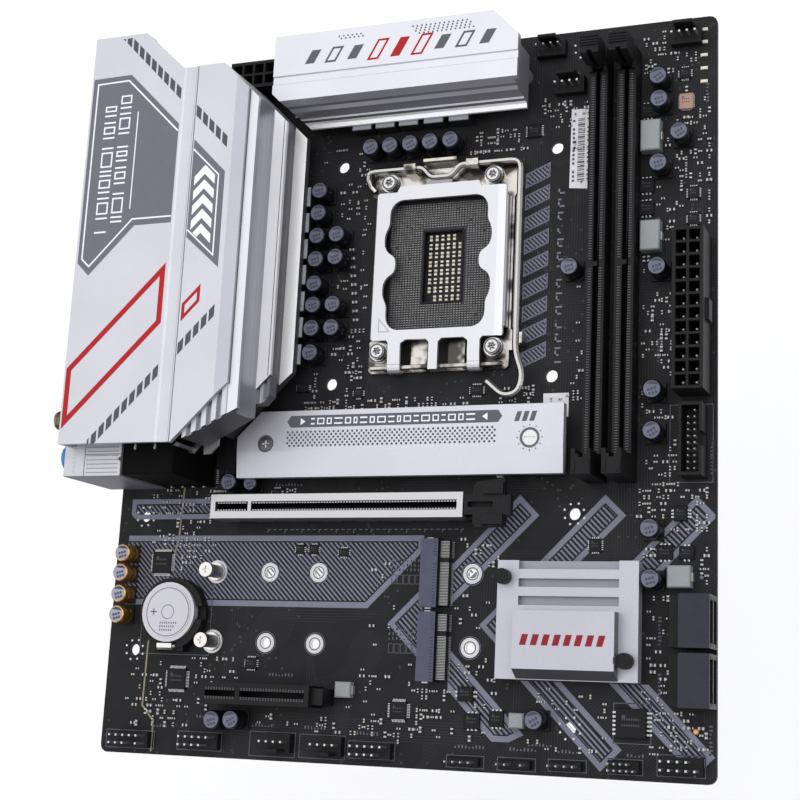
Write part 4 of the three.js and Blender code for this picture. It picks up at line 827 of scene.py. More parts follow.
# decoupling column and test lands between the regulator and the socket
for i in range(9):
    x, y = 83.6 + 0.36 * i, 172.0 - 3.15 * i
    passive(x, y, "C", False)
    BUSY.append((x - 1.4, x + 1.4, y - 0.9, y + 0.9))
for i in range(3):
    for j in range(12):
        x, y = 76.6 + i * 5.6 - (i == 1) * 0.6, 133.0 + j * 6.3
        if free(x, y, 0.9):
            passive(x, y, "r" if (i + j) % 3 else "c", (i + j) % 2 == 0)
            BUSY.append((x - 0.8, x + 0.8, y - 0.8, y + 0.8))
scatter(25, 40, 62, 72, 16, gx=1.2)
scatter(13, 24, 69, 90, 22)
scatter(24, 36, 70, 97, 25)
scatter(36, 68, 86.5, 91, 14)
scatter(9, 24, 10, 32, 25)
scatter(20, 52, 10, 33, 38)
scatter(52, 110, 10, 16, 22)
scatter(88, 126, 8, 30, 33)
scatter(112, 142, 10, 34, 33)
scatter(124, 141, 40, 72, 16)
scatter(152, 178, 6, 27, 22)
scatter(189, 208, 8, 21, 33)
scatter(187.8, 196, 22, 56, 25)
scatter(186, 208, 57, 90, 60)
scatter(186.5, 198, 90, 128, 27)
scatter(186.5, 198, 128, 196, 49)
scatter(198.5, 208, 169, 232, 49)
scatter(186.5, 198, 196, 240, 27)
scatter(162, 168.5, 100, 200, 11)
scatter(146, 168, 200, 221, 22)
scatter(68, 92, 114.5, 131, 36)
scatter(70, 90, 131, 212, 40)
scatter(84, 146, 201.5, 204, 11)
scatter(128, 146, 204.5, 212, 19)
scatter(90, 140, 114.5, 120, 25)
scatter(140, 168, 115, 122, 19)
scatter(56, 60, 216, 229, 6)
scatter(150, 168, 214, 222, 7)
scatter(98, 106, 30, 66, 7)

# indicator lamps along the memory side
lp = Part("indicator_lamps")
for i, y in enumerate((221.0, 225.6, 230.2, 234.8, 239.2)):
    lp.box(204.9, 206.6, y - 0.5, y + 0.5, 0.05, 0.75, "lamp", 0.1)
    lp.box(204.6, 205.0, y - 0.55, y + 0.55, 0.02, 0.5, "tin")
    lp.box(206.5, 206.9, y - 0.55, y + 0.55, 0.02, 0.5, "tin")
lp.rev(203.9, 15.0, [(0.85, 0.05), (0.85, 0.5), (0.5, 0.75)], "amber", 14)
lp.rev(205.4, 60.4, [(0.75, 0.05), (0.75, 0.4), (0.4, 0.6)], "can_top", 14)


# ------------------------------------------------------------------ painted areas of the CAD nodes
def paint(name, rule):
    """give each face the finish the rule picks from its centre and normal, in board millimetres"""
    me = NODES[name].data
    names = [NODE_MAT.get(name, "black")]
    idx = []
    for p in me.polygons:
        c = sum((me.vertices[i].co for i in p.vertices), Vector()) / len(p.vertices)
        m = rule(c.x * 1e3 + 105.0, c.y * 1e3 + 121.92, c.z * 1e3 - 1.6, p.normal) or names[0]
        if m not in names:
            names.append(m)
            me.materials.append(M[m])
        idx.append(names.index(m))
    me.polygons.foreach_set("material_index", idx)


# painted light: bright tin on the pin tips, painted-shade dark steel on the shafts
for n in ("audio_header", "serial_header", "usb2_header", "front_panel_header"):
    paint(n, lambda x, y, h, nn: "tin" if h > 7.9 else ("steel_dim_and_shade" if h > 2.62 else None))
# painted light: bright tin on the pins' top faces, painted-shade dark steel on their sides
for n, cx, cy, s in (("cpu_fan_header", 161.0, 223.7, 1), ("corner_fan_header", 200.2, 236.8, 1), ("system_fan_header_1", 67.4, 5.8, -1), ("system_fan_header_2", 85.6, 5.6, -1)):
    paint(n, lambda x, y, h, nn: ("tin" if nn.z > 0.5 else "steel_dim_and_shade") if h > 3.25 and -0.8 < s * (y - cy) < 0.0 else None)
paint("wireless_module", lambda x, y, h, nn: "brass_dark" if x < -4.01 else None)
paint("audio_jacks", lambda x, y, h, nn: ("black" if abs(math.hypot(y - 96.5, h - (5.6 if h < 10 else 15.6 if h < 20 else 25.6)) - 1.85) < 0.12 and x > -6.5
                                           else ("blue" if h > 20 else "lime" if h > 10 else "rose") if x < -4.62 else None))
for k, (y0, y1) in ((1, (38.9, 54.7)), (2, (21.6, 37.4))):
    paint("sata_block_%d" % k, lambda x, y, h, nn: "black" if x < 200.9 or (h < 11.9 and not (x > 210.0 and (h > 11.3 or h < 0.8 or 5.4 < h < 6.7))) else None)
for k in (1, 2, 3):
    lim = 121.25 if k > 1 else 144.05
    paint("m2_connector_%d" % k, lambda x, y, h, nn: "black" if x > lim or h < 1.45 else None)
paint("cpu_socket", lambda x, y, h, nn: "field" if h < 2.2 and nn.z > 0.5 else "black_satin")
paint("io_cover", lambda x, y, h, nn: "black" if h < 30 else None)


def left_finish(x, y, h, nn):
    """painted light and shade: the extrusion's lands get bright painted-highlight copies of the alloy, its coves and
    flutes darker painted-shade copies, its cut ends the darkest painted shade
    """
    up = nn.z > 0.5
    if nn.z < -0.3:
        return "painted_shade_deep"
    if nn.y < -0.35 and abs(nn.z) < 0.3:
        return "painted_shade_deep" if h < 36.2 else "silver_dim_and_shade"
    if up and (35.1 < h < 35.3 or 19.1 < h < 19.3):
        return "painted_shade_groove"
    if x > 58.0 and 34.7 < h < 36.2 and up:
        return "silver_painted_lit"
    if x > 61.9 and 34.5 < h < 36.0:
        return "silver_painted_lit"
    if 59.9 < x < 62.4 and 20.8 < h < 34.65:
        return "painted_shade_mid"
    if x > 60.3 and 21.2 < h < 21.5 and up:
        return "painted_highlight"
    if x > 65.7 and 19.7 < h < 21.4:
        return "painted_highlight"
    if x > 63.5 and 9.7 < h < 20.15:
        return "painted_shade_groove" if h > 14 else "painted_shade_deep"
    if x > 63.5 and 9.0 < h < 9.85 and up:
        return "painted_highlight"
    if x > 67.5 and h < 9.3:
        return "painted_shade_deep"
    return "silver_dim_and_shade" if nn.x > 0.1 and up and h > 36.5 else None


# painted light and shade on the top heatsink: undersides, faces turned from the light, coves and the groove get darker
# copies of the alloy, the bottom shelf a painted highlight
def top_finish(x, y, h, nn):
    if nn.z < -0.3:
        return "painted_shade_deep"
    if nn.x > 0.5 or (nn.x > 0.3 and nn.y > 0.3):
        return "painted_shade_mid"
    if y < 219.3 and 17.2 < h < 19.2:
        return "painted_shade_groove"
    if y < 217.8 and 10.9 < h < 17.4:
        return "painted_shade_mid" if nn.y < -0.5 else "silver"
    if y < 217.8 and 8.8 < h < 11.35:
        return "painted_shade_deep"
    if y < 217.2 and h < 9.0:
        return "painted_highlight"
    return None


paint("vrm_heatsink_left", left_finish)
# painted shade: dark sides on the drive-slot posts and standoffs
for n in ("m2_standoff_2", "m2_standoff_3", "m2_screw_2", "m2_screw_3", "m2_post_1", "m2_post_2"):
    paint(n, lambda x, y, h, nn: "painted_shade_deep" if abs(nn.z) < 0.5 and 1.4 < h < 5.6 else None)
paint("vrm_heatsink_top", top_finish)
# painted shade: the chipset heatsink's front, right side, underside, groove and cove get darker copies of the alloy
paint("chipset_heatsink", lambda x, y, h, nn: "painted_shade_deep" if (y < 31.6 and h > 7.05 and nn.z < 0.8) or (x > 181.5 and h > 7.05 and nn.x > 0.5) or nn.z < -0.3 else ("painted_shade_groove" if 4.5 < h < 4.7 and nn.z > 0.5 else ("painted_shade_mid" if 4.6 < h < 6.95 and 149.5 < x < 181.7 and y > 50 else None)))
# painted shade: black sides on the load frame's screw heads
for k, (sx, sy) in enumerate(((98.6, 193.4), (136.0, 193.4), (97.2, 134.2), (137.7, 134.2))):
    paint("ilm_screw_%d" % (k + 1), lambda x, y, h, nn, sx=sx, sy=sy: "black_satin" if abs(nn.z) < 0.5 and math.hypot(x - sx, y - sy) > 1.9 else None)

# ------------------------------------------------------------------ contacts and pins
pin = Part("connector_pins")


def post_pin(x, y, z0, z1, a=0.3, m="tin", tip=0.35):
    vs = []
    for d, z in ((a, z0), (a, z1 - tip), (a * 0.55, z1)):
        vs += [(x - d, y - d, z), (x + d, y - d, z), (x + d, y + d, z), (x - d, y + d, z)]
    side = [[r + i, r + (i + 1) % 4, r + 4 + (i + 1) % 4, r + 4 + i] for r in (0, 4) for i in range(4)]
    pin.add(vs, [[3, 2, 1, 0], [8, 9, 10, 11]] + side[4:] + side[:4], m if m != "tip" else "tin")
    if m == "tip":
        # painted shade: a dark sleeve covers the shaft, so only the bright tin tip shows, a painted highlight
        pin.box(x - a - 0.02, x + a + 0.02, y - a - 0.02, y + a + 0.02, z0 + 0.02, z1 - tip - 0.1, "steel_dim_and_shade")


for i in range(2):
    for j in range(12):
        post_pin(201.2 + 4.2 * i, 119.0 + 4.2 * j, 3.4, 8.8, 0.42, "tip", 0.4)
for i in range(4):
    for j in range(2):
        post_pin(40.65 + 4.2 * i, 233.9 + 4.2 * j, 3.4, 8.8, 0.42, "tip", 0.4)
for j in range(10):
    for i in range(2):
        if not (i == 0 and j == 9):
            post_pin(202.5 + 2.0 * i, 92.7 + 2.0 * j, 2.1, 7.6, 0.26, "tip")

# loose headers the CAD leaves to the look: short pin rows and one more fan header
xh = Part("low_headers")


def pin_row(x0, y0, n, nr, skip=(), pitch=2.54, h=8.4, base="black"):
    w, d = n * pitch, nr * pitch
    xh.box(x0 - w / 2, x0 + w / 2, y0 - d / 2, y0 + d / 2, 0.1, 2.5, base, 0.25)
    for i in range(n):
        for j in range(nr):
            if (i, j) in skip:
                continue
            x, y = x0 + (i - (n - 1) / 2) * pitch, y0 + (j - (nr - 1) / 2) * pitch
            post_pin(x, y, 2.4, h, 0.3, "tip")


pin_row(131.6, 2.95, 4, 1)
pin_row(148.3, 2.95, 4, 1, ((2, 0),))
pin_row(164.5, 3.3, 4, 1)
pin_row(182.6, 3.8, 5, 2, ((4, 1),), 1.9, 7.2)
xh.box(154.1 - 5.1, 154.1 + 5.1, 234.9, 240.5, 0.1, 3.0, "black", 0.25)
xh.box(154.1 - 3.1, 154.1 + 3.1, 239.3, 240.5, 0.1, 8.6, "black", 0.25)
for i in range(4):
    post_pin(154.1 + (i - 1.5) * 2.54, 237.4, 2.9, 8.0, 0.3, "tip")

# tails of the soldered connectors, standing out under the board
tl = Part("solder_tails")


def tail(x, y, r=0.34, d=0.75):
    tl.rev(x, y, [(r * 0.55, -1.6 - d), (r * 0.8, -1.6 - d * 0.8), (r * 1.7, -1.62), (r * 1.7, -1.55)], "tin", 8)


for i in range(2):
    for j in range(12):
        tail(201.2 + 4.2 * i, 119.0 + 4.2 * j, 0.45)
for i in range(4):
    for j in range(2):
        tail(40.65 + 4.2 * i, 233.9 + 4.2 * j, 0.45)
for cx, cy, n, nr in ((13.2, 4.7, 5, 2), (39.5, 5.2, 5, 2), (101.0, 4.9, 5, 2), (200.0, 5.0, 5, 2), (67.4, 5.4, 4, 1), (85.6, 5.2, 4, 1), (161.0, 223.3, 4, 1), (200.2, 236.4, 4, 1), (154.1, 237.4, 4, 1), (131.6, 2.95, 4, 1), (148.3, 2.95, 4, 1), (164.5, 3.3, 4, 1)):
    for i in range(n):
        for j in range(nr):
            tail(cx + (i - (n - 1) / 2) * 2.54, cy + (j - (nr - 1) / 2) * 2.54)
for y0 in (40.5, 23.2):
    for j in range(7):
        tail(199.0, y0 + 2.1 * j)
for x0 in (169.3, 178.85):
    for j in range(64):
        y = 98.5 + 1.96 * j
        tail(x0 + (1.6 if j % 2 else 4.5), y, 0.26, 0.6)
for j in range(40):
    tail(44.5 + 2.1 * j, 79.3 if j % 2 else 84.1, 0.26, 0.6)
for j in range(18):
    tail(44.5 + 2.1 * j, 18.3 if j % 2 else 23.2, 0.26, 0.6)
for y0, y1, n, x1 in ((138.2, 152.6, 4, 11), (156.4, 170.8, 4, 11), (198.4, 212.8, 4, 11), (118.2, 134.6, 6, 15), (175.0, 194.0, 7, 12), (89.6, 103.4, 4, 14)):
    for j in range(n):
        for x in (2.5, x1 * 0.6, x1):
            tail(x, y0 + 2.0 + (y1 - y0 - 4.0) * j / (n - 1))
# capacitor feet
for x, y in [(73.2, y) for y in (192.1, 184.0, 175.7, 167.3, 158.6, 151.1, 142.9, 134.4)] + [(x, 206.4) for x in (91.6, 98.8, 106.2, 113.5, 120.9)]:
    tail(x - 1.0, y)
    tail(x + 1.0, y)

# edge contacts of the expansion and memory slots
sl = Part("slot_contacts")
for i in range(73):
    x = 57.6 + i * 1.0
    if x < 130.0:
        for s in (-1, 1):
            sl.box(x - 0.26, x + 0.26, 81.7 + s * 1.0 - (0.0 if s > 0 else 0.34), 81.7 + s * 1.0 + (0.34 if s > 0 else 0.0), 10.4, 10.98, "tin")
for i in range(11):
    x = 44.6 + i * 1.0
    for s in (-1, 1):
        sl.box(x - 0.26, x + 0.26, 81.7 + s * 1.0 - (0.0 if s > 0 else 0.34), 81.7 + s * 1.0 + (0.34 if s > 0 else 0.0), 10.4, 10.98, "tin")
for i in range(36):
    x = 44.8 + i * 1.0
    if 55.4 < x < 57.2 or x > 80:
        continue
    for s in (-1, 1):
        sl.box(x - 0.25, x + 0.25, 20.74 + s * 1.0 - (0.0 if s > 0 else 0.9), 20.74 + s * 1.0 + (0.9 if s > 0 else 0.0), 10.5, 10.97, "contact_dim")
        sl.box(x - 0.34, x + 0.16, 20.74 + s * 3.35 - 0.06, 20.74 + s * 3.35 + 0.06, 2.0, 9.6, "black")
for x0 in (169.3, 178.85):
    m = x0 + 3.05
    for j in range(148):
        y = 98.0 + j * 0.85
        if 157.6 < y < 160.6 or y > 223.6:
            continue
        for s in (-1, 1):
            sl.box(m + s * 1.75 - 0.5, m + s * 1.75 + 0.5, y - 0.1, y + 0.1, 7.9, 8.05, "rib")
        if j % 2 == 0:
            for s in (-1, 1):
                sl.box(m + s * 3.05 - 0.08, m + s * 3.05 + 0.08, y - 0.35, y + 0.35, 1.2, 7.3, "black")
    # strengthening fins and mouth of the guide tower
    for s in (-1, 1):
        sl.box(m + s * 2.2 - 0.5, m + s * 2.2 + 0.5, 90.2, 94.0, 20.1, 20.45, "black")

for k, (x, y) in enumerate(((138.2, 103.1), (115.4, 61.0), (115.4, 37.75))):
    for j in range(42):
        yy = y - 10.1 + j * 0.49
        if 3.4 < yy - y < 4.6:
            continue
        sl.box(x + 6.3, x + 9.3, yy - 0.10, yy + 0.10, 2.55, 2.66, "comb")
        sl.box(x + 9.3, x + 10.1, yy - 0.11, yy + 0.11, 0.03, 0.3, "comb")
        if j % 2 == 0:
            sl.box(x + 4.5, x + 5.5, yy - 0.12, yy + 0.12, 4.15, 4.23, "slate_dark")
    for s in (-1, 1):
        sl.box(x + 1.2, x + 3.2, y + s * 10.9 - 0.5, y + s * 10.9 + 0.5, 0.05, 1.6, "tin")

# rear connectors: tongues, contacts, shield dimples
io = Part("rear_port_insides")


def port_inside(yc, z0, m, w=9.6, up=True):
    zt = z0 + (3.0 if up else 1.2)
    io.box(-3.9, 4.9, yc - w / 2, yc + w / 2, zt, zt + 1.15, m)
    for j in range(4):
        yy = yc + (j - 1.5) * 2.3
        io.box(-3.4, 4.0, yy - 0.5, yy + 0.5, zt - 0.08, zt + 0.02, "gold")
    io.box(4.6, 5.3, yc - 6.2, yc + 6.2, z0 + 0.05, z0 + 5.05, "black")
    for s in (-1, 1):
        io.box(-4.3, -1.0, yc + s * 3.4 - 0.9, yc + s * 3.4 + 0.9, z0 - 0.03, z0 + 0.35, "nickel")


for yc, rows, m in ((145.4, (2.2, 9.3, 16.2, 23.2), "teal"), (163.6, (2.2, 9.3), "black"), (205.6, (2.2, 9.3), "teal"), (126.4, (2.3, 9.9), "red_tongue")):
    for z in rows:
        port_inside(yc, z, m)
# network jack: eight springs, a dark throat, two lamps
io.box(7.9, 8.3, 120.5, 132.3, 17.7, 27.1, "black")
for j in range(8):
    yy = 126.4 + (j - 3.5) * 1.02
    io.rod((-2.2, yy, 26.4), (5.5, yy, 22.0), 0.2, "gold", 6)
for s, m in ((-1, "lime"), (1, "amber")):
    io.box(-4.75, -4.2, 126.4 + s * 6.9 - 0.7, 126.4 + s * 6.9 + 0.7, 24.2, 26.6, m)
# display outputs
io.box(-3.6, 5.0, 179.0, 190.0, 4.6, 6.0, "black")
io.box(-3.6, 5.0, 178.6, 190.4, 15.3, 16.7, "black")
for j in range(9):
    io.box(-3.2, 3.6, 179.9 + j * 1.1, 180.4 + j * 1.1, 5.95, 6.1, "gold")
    io.box(-3.2, 3.6, 179.7 + j * 1.14, 180.2 + j * 1.14, 16.65, 16.8, "gold")
io.box(4.7, 5.3, 177.5, 191.5, 3.05, 7.95, "black")
io.box(4.7, 5.3, 176.5, 192.5, 13.45, 18.55, "black")
# threads and hex nuts of the aerial posts
for z in (12.0, 26.8):
    for k in range(9):
        x = -10.7 + k * 0.62
        io.rod((x, 109.4, z), (x + 0.3, 109.4, z), 3.1, "brass_dark", 20, 3.28)
    io.rod((-5.2, 109.4, z), (-4.1, 109.4, z), 4.3, "brass_dark", 6, smooth=False)
    io.rod((-11.0, 109.4, z), (-6.0, 109.4, z), 0.95, "white_plastic", 14)
    io.rod((-10.4, 109.4, z), (-6.0, 109.4, z), 0.25, "gold", 8)
# pale shield over the sound jacks: perforated top with a plain frame, a folded seam, a grey side; painted shade: the
# perforations are dark squares, the seam a dark line and the side a darker shaded copy of the pale steel
ZT = 30.4
io.box(-4.55, 3.2, 89.75, 103.3, ZT - 0.02, ZT + 0.10, "white_steel")
io.box(3.45, 17.2, 89.75, 96.75, ZT - 0.02, ZT + 0.05, "white_steel")
io.box(3.45, 17.2, 96.95, 103.3, ZT - 0.02, ZT + 0.05, "white_steel")
io.box(3.2, 3.45, 89.75, 103.3, ZT - 0.03, ZT + 0.02, "slate_dark")
io.box(3.45, 17.2, 96.75, 96.95, ZT - 0.03, ZT + 0.02, "slate_dark")
for j in range(9):
    for i in range(13):
        x, y = 4.3 + i * 0.95, 90.5 + j * 1.42
        if abs(y - 96.85) < 0.5:
            continue
        io.box(x, x + 0.42, y, y + 0.42, ZT + 0.03, ZT + 0.07, "slate_dark")
io.box(-3.2, 1.2, 101.6, 103.4, ZT + 0.08, ZT + 0.16, "black")
io.rev(-0.6, 100.6, [(0.55, ZT + 0.05), (0.55, ZT + 0.14), (0.3, ZT + 0.16)], "slate_dark", 12)
for a, b in ((91.2, 100.2),):
    for k in range(7):
        yy = a + (b - a) * k / 6
        io.box(-1.35 + 0.25 * math.sin(k * 2.1), -0.35 + 0.2 * math.sin(k * 1.3), yy - 0.6, yy + 0.5, ZT + 0.06, ZT + 0.14, "zinc")
for yy in (95.2, 102.2):
    io.prism([(16.2, yy), (17.25, yy - 0.9), (17.25, yy + 0.9)], ZT + 0.03, ZT + 0.08, "black")
io.box(-4.5, 17.2, 89.5, 89.62, 0.6, 30.3, "shield_side_shaded")
for z in (6.0, 15.5, 25.0):
    io.box(17.25, 17.7, 90.6, 91.6, z, z + 2.2, "tin")
    io.box(17.25, 17.7, 98.6, 99.6, z, z + 2.2, "tin")
# black body of the jacks, and a black block running on under the cover that is painted shadow
io.box(17.35, 36.5, 90.0, 103.2, 0.1, 29.6, "jack_black_and_shadow", 0.5)
for x, z in ((21.5, 29.62), (29.0, 29.62)):
    io.prism([(x, 98.6), (x + 0.7, 98.2), (x + 1.0, 99.6), (x + 0.3, 100.4)], z, z + 0.12, "tin")
for k in range(4):
    io.prism([(20.6 + 4.2 * k, 89.7), (21.3 + 4.2 * k, 89.5), (21.3 + 4.2 * k, 90.0), (20.6 + 4.2 * k, 90.0)], 1.0, 2.6, "tin")
# shells' raised dimples and folds, so that the cans are not plain
for y0, y1, x1, top in ((118.2, 134.6, 20.6, 29.6), (138.2, 152.6, 13.4, 29.4), (156.4, 170.8, 13.4, 15.9), (175.0, 194.0, 16.5, 22.4), (198.4, 212.8, 13.4, 15.9)):
    for j in (0.28, 0.72):
        yy = y0 + (y1 - y0) * j
        io.box(-2.5, 3.4, yy - 1.5, yy + 1.5, top - 0.02, top + 0.22, "zinc", 0.15)
        io.box(-4.72, -4.5, yy - 1.0, yy + 1.0, top - 1.2, top - 0.3, "zinc")
    io.box(x1 - 0.1, x1 + 0.25, y0 + 0.8, y1 - 0.8, 1.0, top - 1.2, "black")

# folded tabs under the lower end of the cover, above the M.2 heatsink
tb = Part("cover_stays")
tb.prism([(36.0, 98.9), (38.6, 98.3), (42.0, 102.6), (41.0, 103.4)], 19.0, 19.8, "steel_dim_and_shade")
tb.prism([(42.3, 97.9), (45.0, 98.2), (47.6, 101.0), (47.6, 104.0), (46.2, 105.0), (42.2, 102.9)], 18.9, 19.7, "steel_dim_and_shade")
tb.prism([(36.6, 99.4), (38.4, 99.0), (39.2, 100.0), (37.6, 100.6)], 19.8, 30.0, "steel_dim_and_shade")

# ------------------------------------------------------------------ processor socket
so = Part("socket_contacts")
CX, CY = 117.4, 163.75
nx, ny = 38, 54
for i in range(nx):
    for j in range(ny):
        x = CX - 18.2 + i * (36.4 / (nx - 1))
        y = CY - 21.9 + j * (43.8 / (ny - 1))
        if CX - 7.2 < x < CX + 8.6 and CY - 13.6 < y < CY + 12.9:
            continue
        if (i + j) % 37 == 0 and j % 5 == 0:
            continue
        so.prism([(x - 0.27, y - 0.17), (x + 0.3, y - 0.17), (x + 0.3, y + 0.17), (x - 0.27, y + 0.17)], 2.1, 2.42, "contact")
for i in range(6):
    for j in range(8):
        x, y = CX - 4.55 + i * 2.1, CY - 10.9 + j * 3.02
        if (i, j) in ((0, 0), (5, 7)):
            continue
        so.box(x - 0.44, x + 0.44, y - 0.72, y + 0.72, 0.02, 0.5, "tan" if (i + j) % 3 else "resist")
        so.box(x - 0.47, x + 0.47, y - 0.98, y - 0.36, 0.02, 0.58, "cap_cream")
        so.box(x - 0.47, x + 0.47, y + 0.36, y + 0.98, 0.02, 0.58, "cap_cream")
# moulded ledges and corner keys of the contact bed
for s in (-1, 1):
    so.box(CX + s * 18.5 - 0.4, CX + s * 18.5 + 0.4, CY - 22.4, CY + 7.0, 2.1, 3.2, "black_satin")
    so.box(CX - 16, CX + 16, CY + s * 22.35 - 0.3, CY + s * 22.35 + 0.3, 2.1, 3.2, "black_satin")
    so.box(CX + s * 7.0 + 0.7 - 0.25, CX + s * 7.0 + 0.7 + 0.25, CY - 12.9, CY + 12.2, 2.1, 2.75, "black_satin")
    so.box(CX - 6.5, CX + 7.9, CY + s * 12.55 - 0.35 - 0.2, CY + s * 12.55 - 0.35 + 0.2, 2.1, 2.75, "black_satin")
# the bent left end of the load lever, tucked under its hook
lv = Part("lever_end", "load_lever")
PTS = ((92.6, 198.2, 4.5), (90.9, 198.1, 4.5), (90.1, 197.2, 4.4), (89.9, 195.6, 3.8), (90.6, 193.4, 2.6), (92.0, 191.9, 1.9))
for p, q in zip(PTS, PTS[1:]):
    lv.rod(p, q, 1.08, "rod_steel", 14)
# painted shade: dark rings and six-point recess marks on the load frame's screws, and fine painted shadow lines along
# the left heatsink
sr = Part("screw_and_heatsink_painted_shade")
for n in ("ilm_screw_1", "ilm_screw_2", "ilm_screw_3", "ilm_screw_4"):
    lo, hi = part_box(n)
    sx, sy, top = (lo.x + hi.x) * 500 + 105.0, (lo.y + hi.y) * 500 + 121.92, hi.z * 1e3 - 1.6
    sr.ringflat(sx, sy, 2.05, 2.6, top - 0.02, top + 0.03, "painted_shade_deep", 28)
    for k in range(6):
        t = k * math.pi / 3 + 0.3
        sr.prism([(sx + r * math.cos(t + d), sy + r * math.sin(t + d)) for r, d in ((0.55, -0.5), (1.45, -0.16), (1.45, 0.16), (0.55, 0.5))], top - 0.02, top + 0.025, "painted_shade_deep")
sr.prism([(59.0, 117.8), (59.25, 118.05), (59.25, 219.7), (59.0, 219.95)], 35.9, 36.12, "painted_shade_deep")
sr.prism([(64.95, 123.4), (65.2, 123.65), (65.2, 213.7), (64.95, 213.95)], 21.2, 21.36, "painted_shade_deep")
# pin-one triangle pressed in the load plate
lpm = Part("plate_mark", "load_plate")
lpm.stroke([(97.6, 140.6), (101.4, 140.6), (97.6, 145.0)], 0.35, 6.39, 6.43, "steel_dim_and_shade", closed=True)

# ------------------------------------------------------------------ printed panels of the rear cover
H = 38.0
gp = Part("cover_print")
Z0, Z1 = H - 0.01, H + 0.035
Z2 = H + 0.06
gp.prism([(-2.2, 229.0), (12.9, 229.3), (33.4, 209.2), (33.4, 173.9), (19.3, 173.9), (2.8, 157.2), (-1.9, 161.8)], Z0, Z1, "ink")
gp.stroke([(33.3, 206.6), (12.1, 227.2), (-0.3, 226.9), (-0.3, 163.2), (2.7, 160.4), (18.2, 176.2), (33.3, 176.2)], 0.55, Z0, Z2, "ink_white")
gp.stroke([(16.9, 180.0), (16.9, 215.2)], 0.42, Z0, Z2, "ink_white")
# two rows of plain blocks where the printed words stood
for (x0, x1), y0, y1, seed in (((3.6, 8.2), 172.0, 221.5, 3), ((9.6, 14.0), 175.5, 224.0, 5)):
    y, k = y0, seed
    while y < y1 - 2:
        L = (2.2, 4.4, 3.2, 5.6, 2.8)[k % 5]
        k += 3
        if y + L > y1:
            break
        if k % 2:
            gp.stroke([(x0 + 0.3, y + 0.3), (x1 - 0.3, y + 0.3), (x1 - 0.3, y + L - 0.3), (x0 + 0.3, y + L - 0.3)], 0.55, Z0, Z2, "ink_white", closed=True)
        else:
            gp.box(x0, x1, y, y + 0.6, Z0, Z2, "ink_white")
            gp.box(x0, x1, y + L - 0.6, y + L, Z0, Z2, "ink_white")
        y += L + 1.1


def dashes(part, xa, xb, yc, z0, z1, last, lo=98.95, hi=243.25, m="ink_dark"):
    """a slanting row of upright blocks ending at x = last, cut at the panel's own edges"""
    x = last - 1.95
    while x > xa - 1.95:
        a, b = max(x, xa), min(x + 1.95, xb)
        if b - a > 0.3:
            q = [(a, yc(a) - 2.0), (b, yc(b) - 2.0), (b, yc(b) + 2.0), (a, yc(a) + 2.0)]
            q = clip(clip(q, lambda p: hi - p[1]), lambda p: p[1] - lo)
            if len(q) > 2:
                part.prism(q, z0, z1, m)
        x -= 2.68


dashes(gp, 8.0, 33.3, lambda x: 253.4 - x, Z0, Z1, 33.3)
dashes(gp, 8.5, 33.3, lambda x: 89.9 + x, Z0, Z1, 33.3)
# red-outlined band, a plain slanting shape
gp.stroke([(-1.2, 106.6), (31.9, 139.6), (31.9, 157.6), (-1.2, 124.6)], 1.9, Z0, Z1, "ink_red", closed=True)

hl = Part("heatsink_print")
hl.prism([(39.95, 202.9), (52.6, 190.4), (52.7, 157.0), (39.95, 168.2)], Z0, Z1, "ink")
hl.stroke([(40.0, 199.4), (50.3, 189.4), (50.4, 161.4), (40.0, 170.8)], 0.5, Z0, Z2, "ink_white")
for k in range(5):
    yt = 192.1 - 5.17 * k
    pts = [(41.2, yt - 5.9), (45.1, yt - 2.0), (49.0, yt - 5.9), (49.0, yt - 2.7), (45.1, yt + 1.2), (41.2, yt - 2.7)]
    if k == 4:
        pts = [(43.73, 168.03), (45.1, 169.4), (49.0, 165.5), (49.0, 168.7), (45.1, 172.6), (42.05, 169.55)]
    hl.prism(pts, Z0, Z2, "ink_white")
dashes(hl, 39.95, 52.6, lambda x: 253.4 - x, Z0, Z1, 52.6)
dashes(hl, 39.95, 52.6, lambda x: 89.9 + x, Z0, Z1, 52.6)
hl.stroke([(40.8, 140.5), (46.2, 146.0), (46.2, 150.4), (40.8, 145.0)], 1.1, Z0, Z1, "ink_red", closed=True)

# ------------------------------------------------------------------ print on the top heatsink
ht = Part("top_heatsink_print")
T0, T1 = 24.99, 25.035
# dotted fields, round spots on a staggered grid
for x0, x1, y0, y1, lean in ((85.6, 96.0, 239.2, 240.6, 0.0), (112.6, 134.2, 238.2, 240.9, 0.6)):
    r = 0
    y = y1
    while y > y0 - 0.01:
        n = int((x1 - x0) / 1.6)
        for i in range(n):
            x = x0 + (r % 2) * 0.8 + i * 1.6 + (y1 - y) * lean
            ht.prism([(x + 0.36 * math.cos(a), y + 0.36 * math.sin(a)) for a in (0, 1.047, 2.094, 3.1416, 4.189, 5.236)], T0, T1, "ink_mid")
        y -= 0.9
        r += 1
# slanting bars, red in the middle of the row
for k in range(9):
    x = 75.0 + k * 7.9
    hh = 3.3 if k in (3, 4, 5) else 2.4
    yc = 234.2
    m = "ink_red" if k in (3, 4, 5) else "ink_mid"
    q = [(x - 1.9, yc - hh), (x + 1.5, yc - hh), (x + 1.5 + hh * 1.1, yc + hh), (x - 1.9 + hh * 1.1, yc + hh)]
    if k % 2:
        ht.stroke(q, 0.7, T0, T1, m, closed=True)
    else:
        ht.prism(q, T0, T1, m)

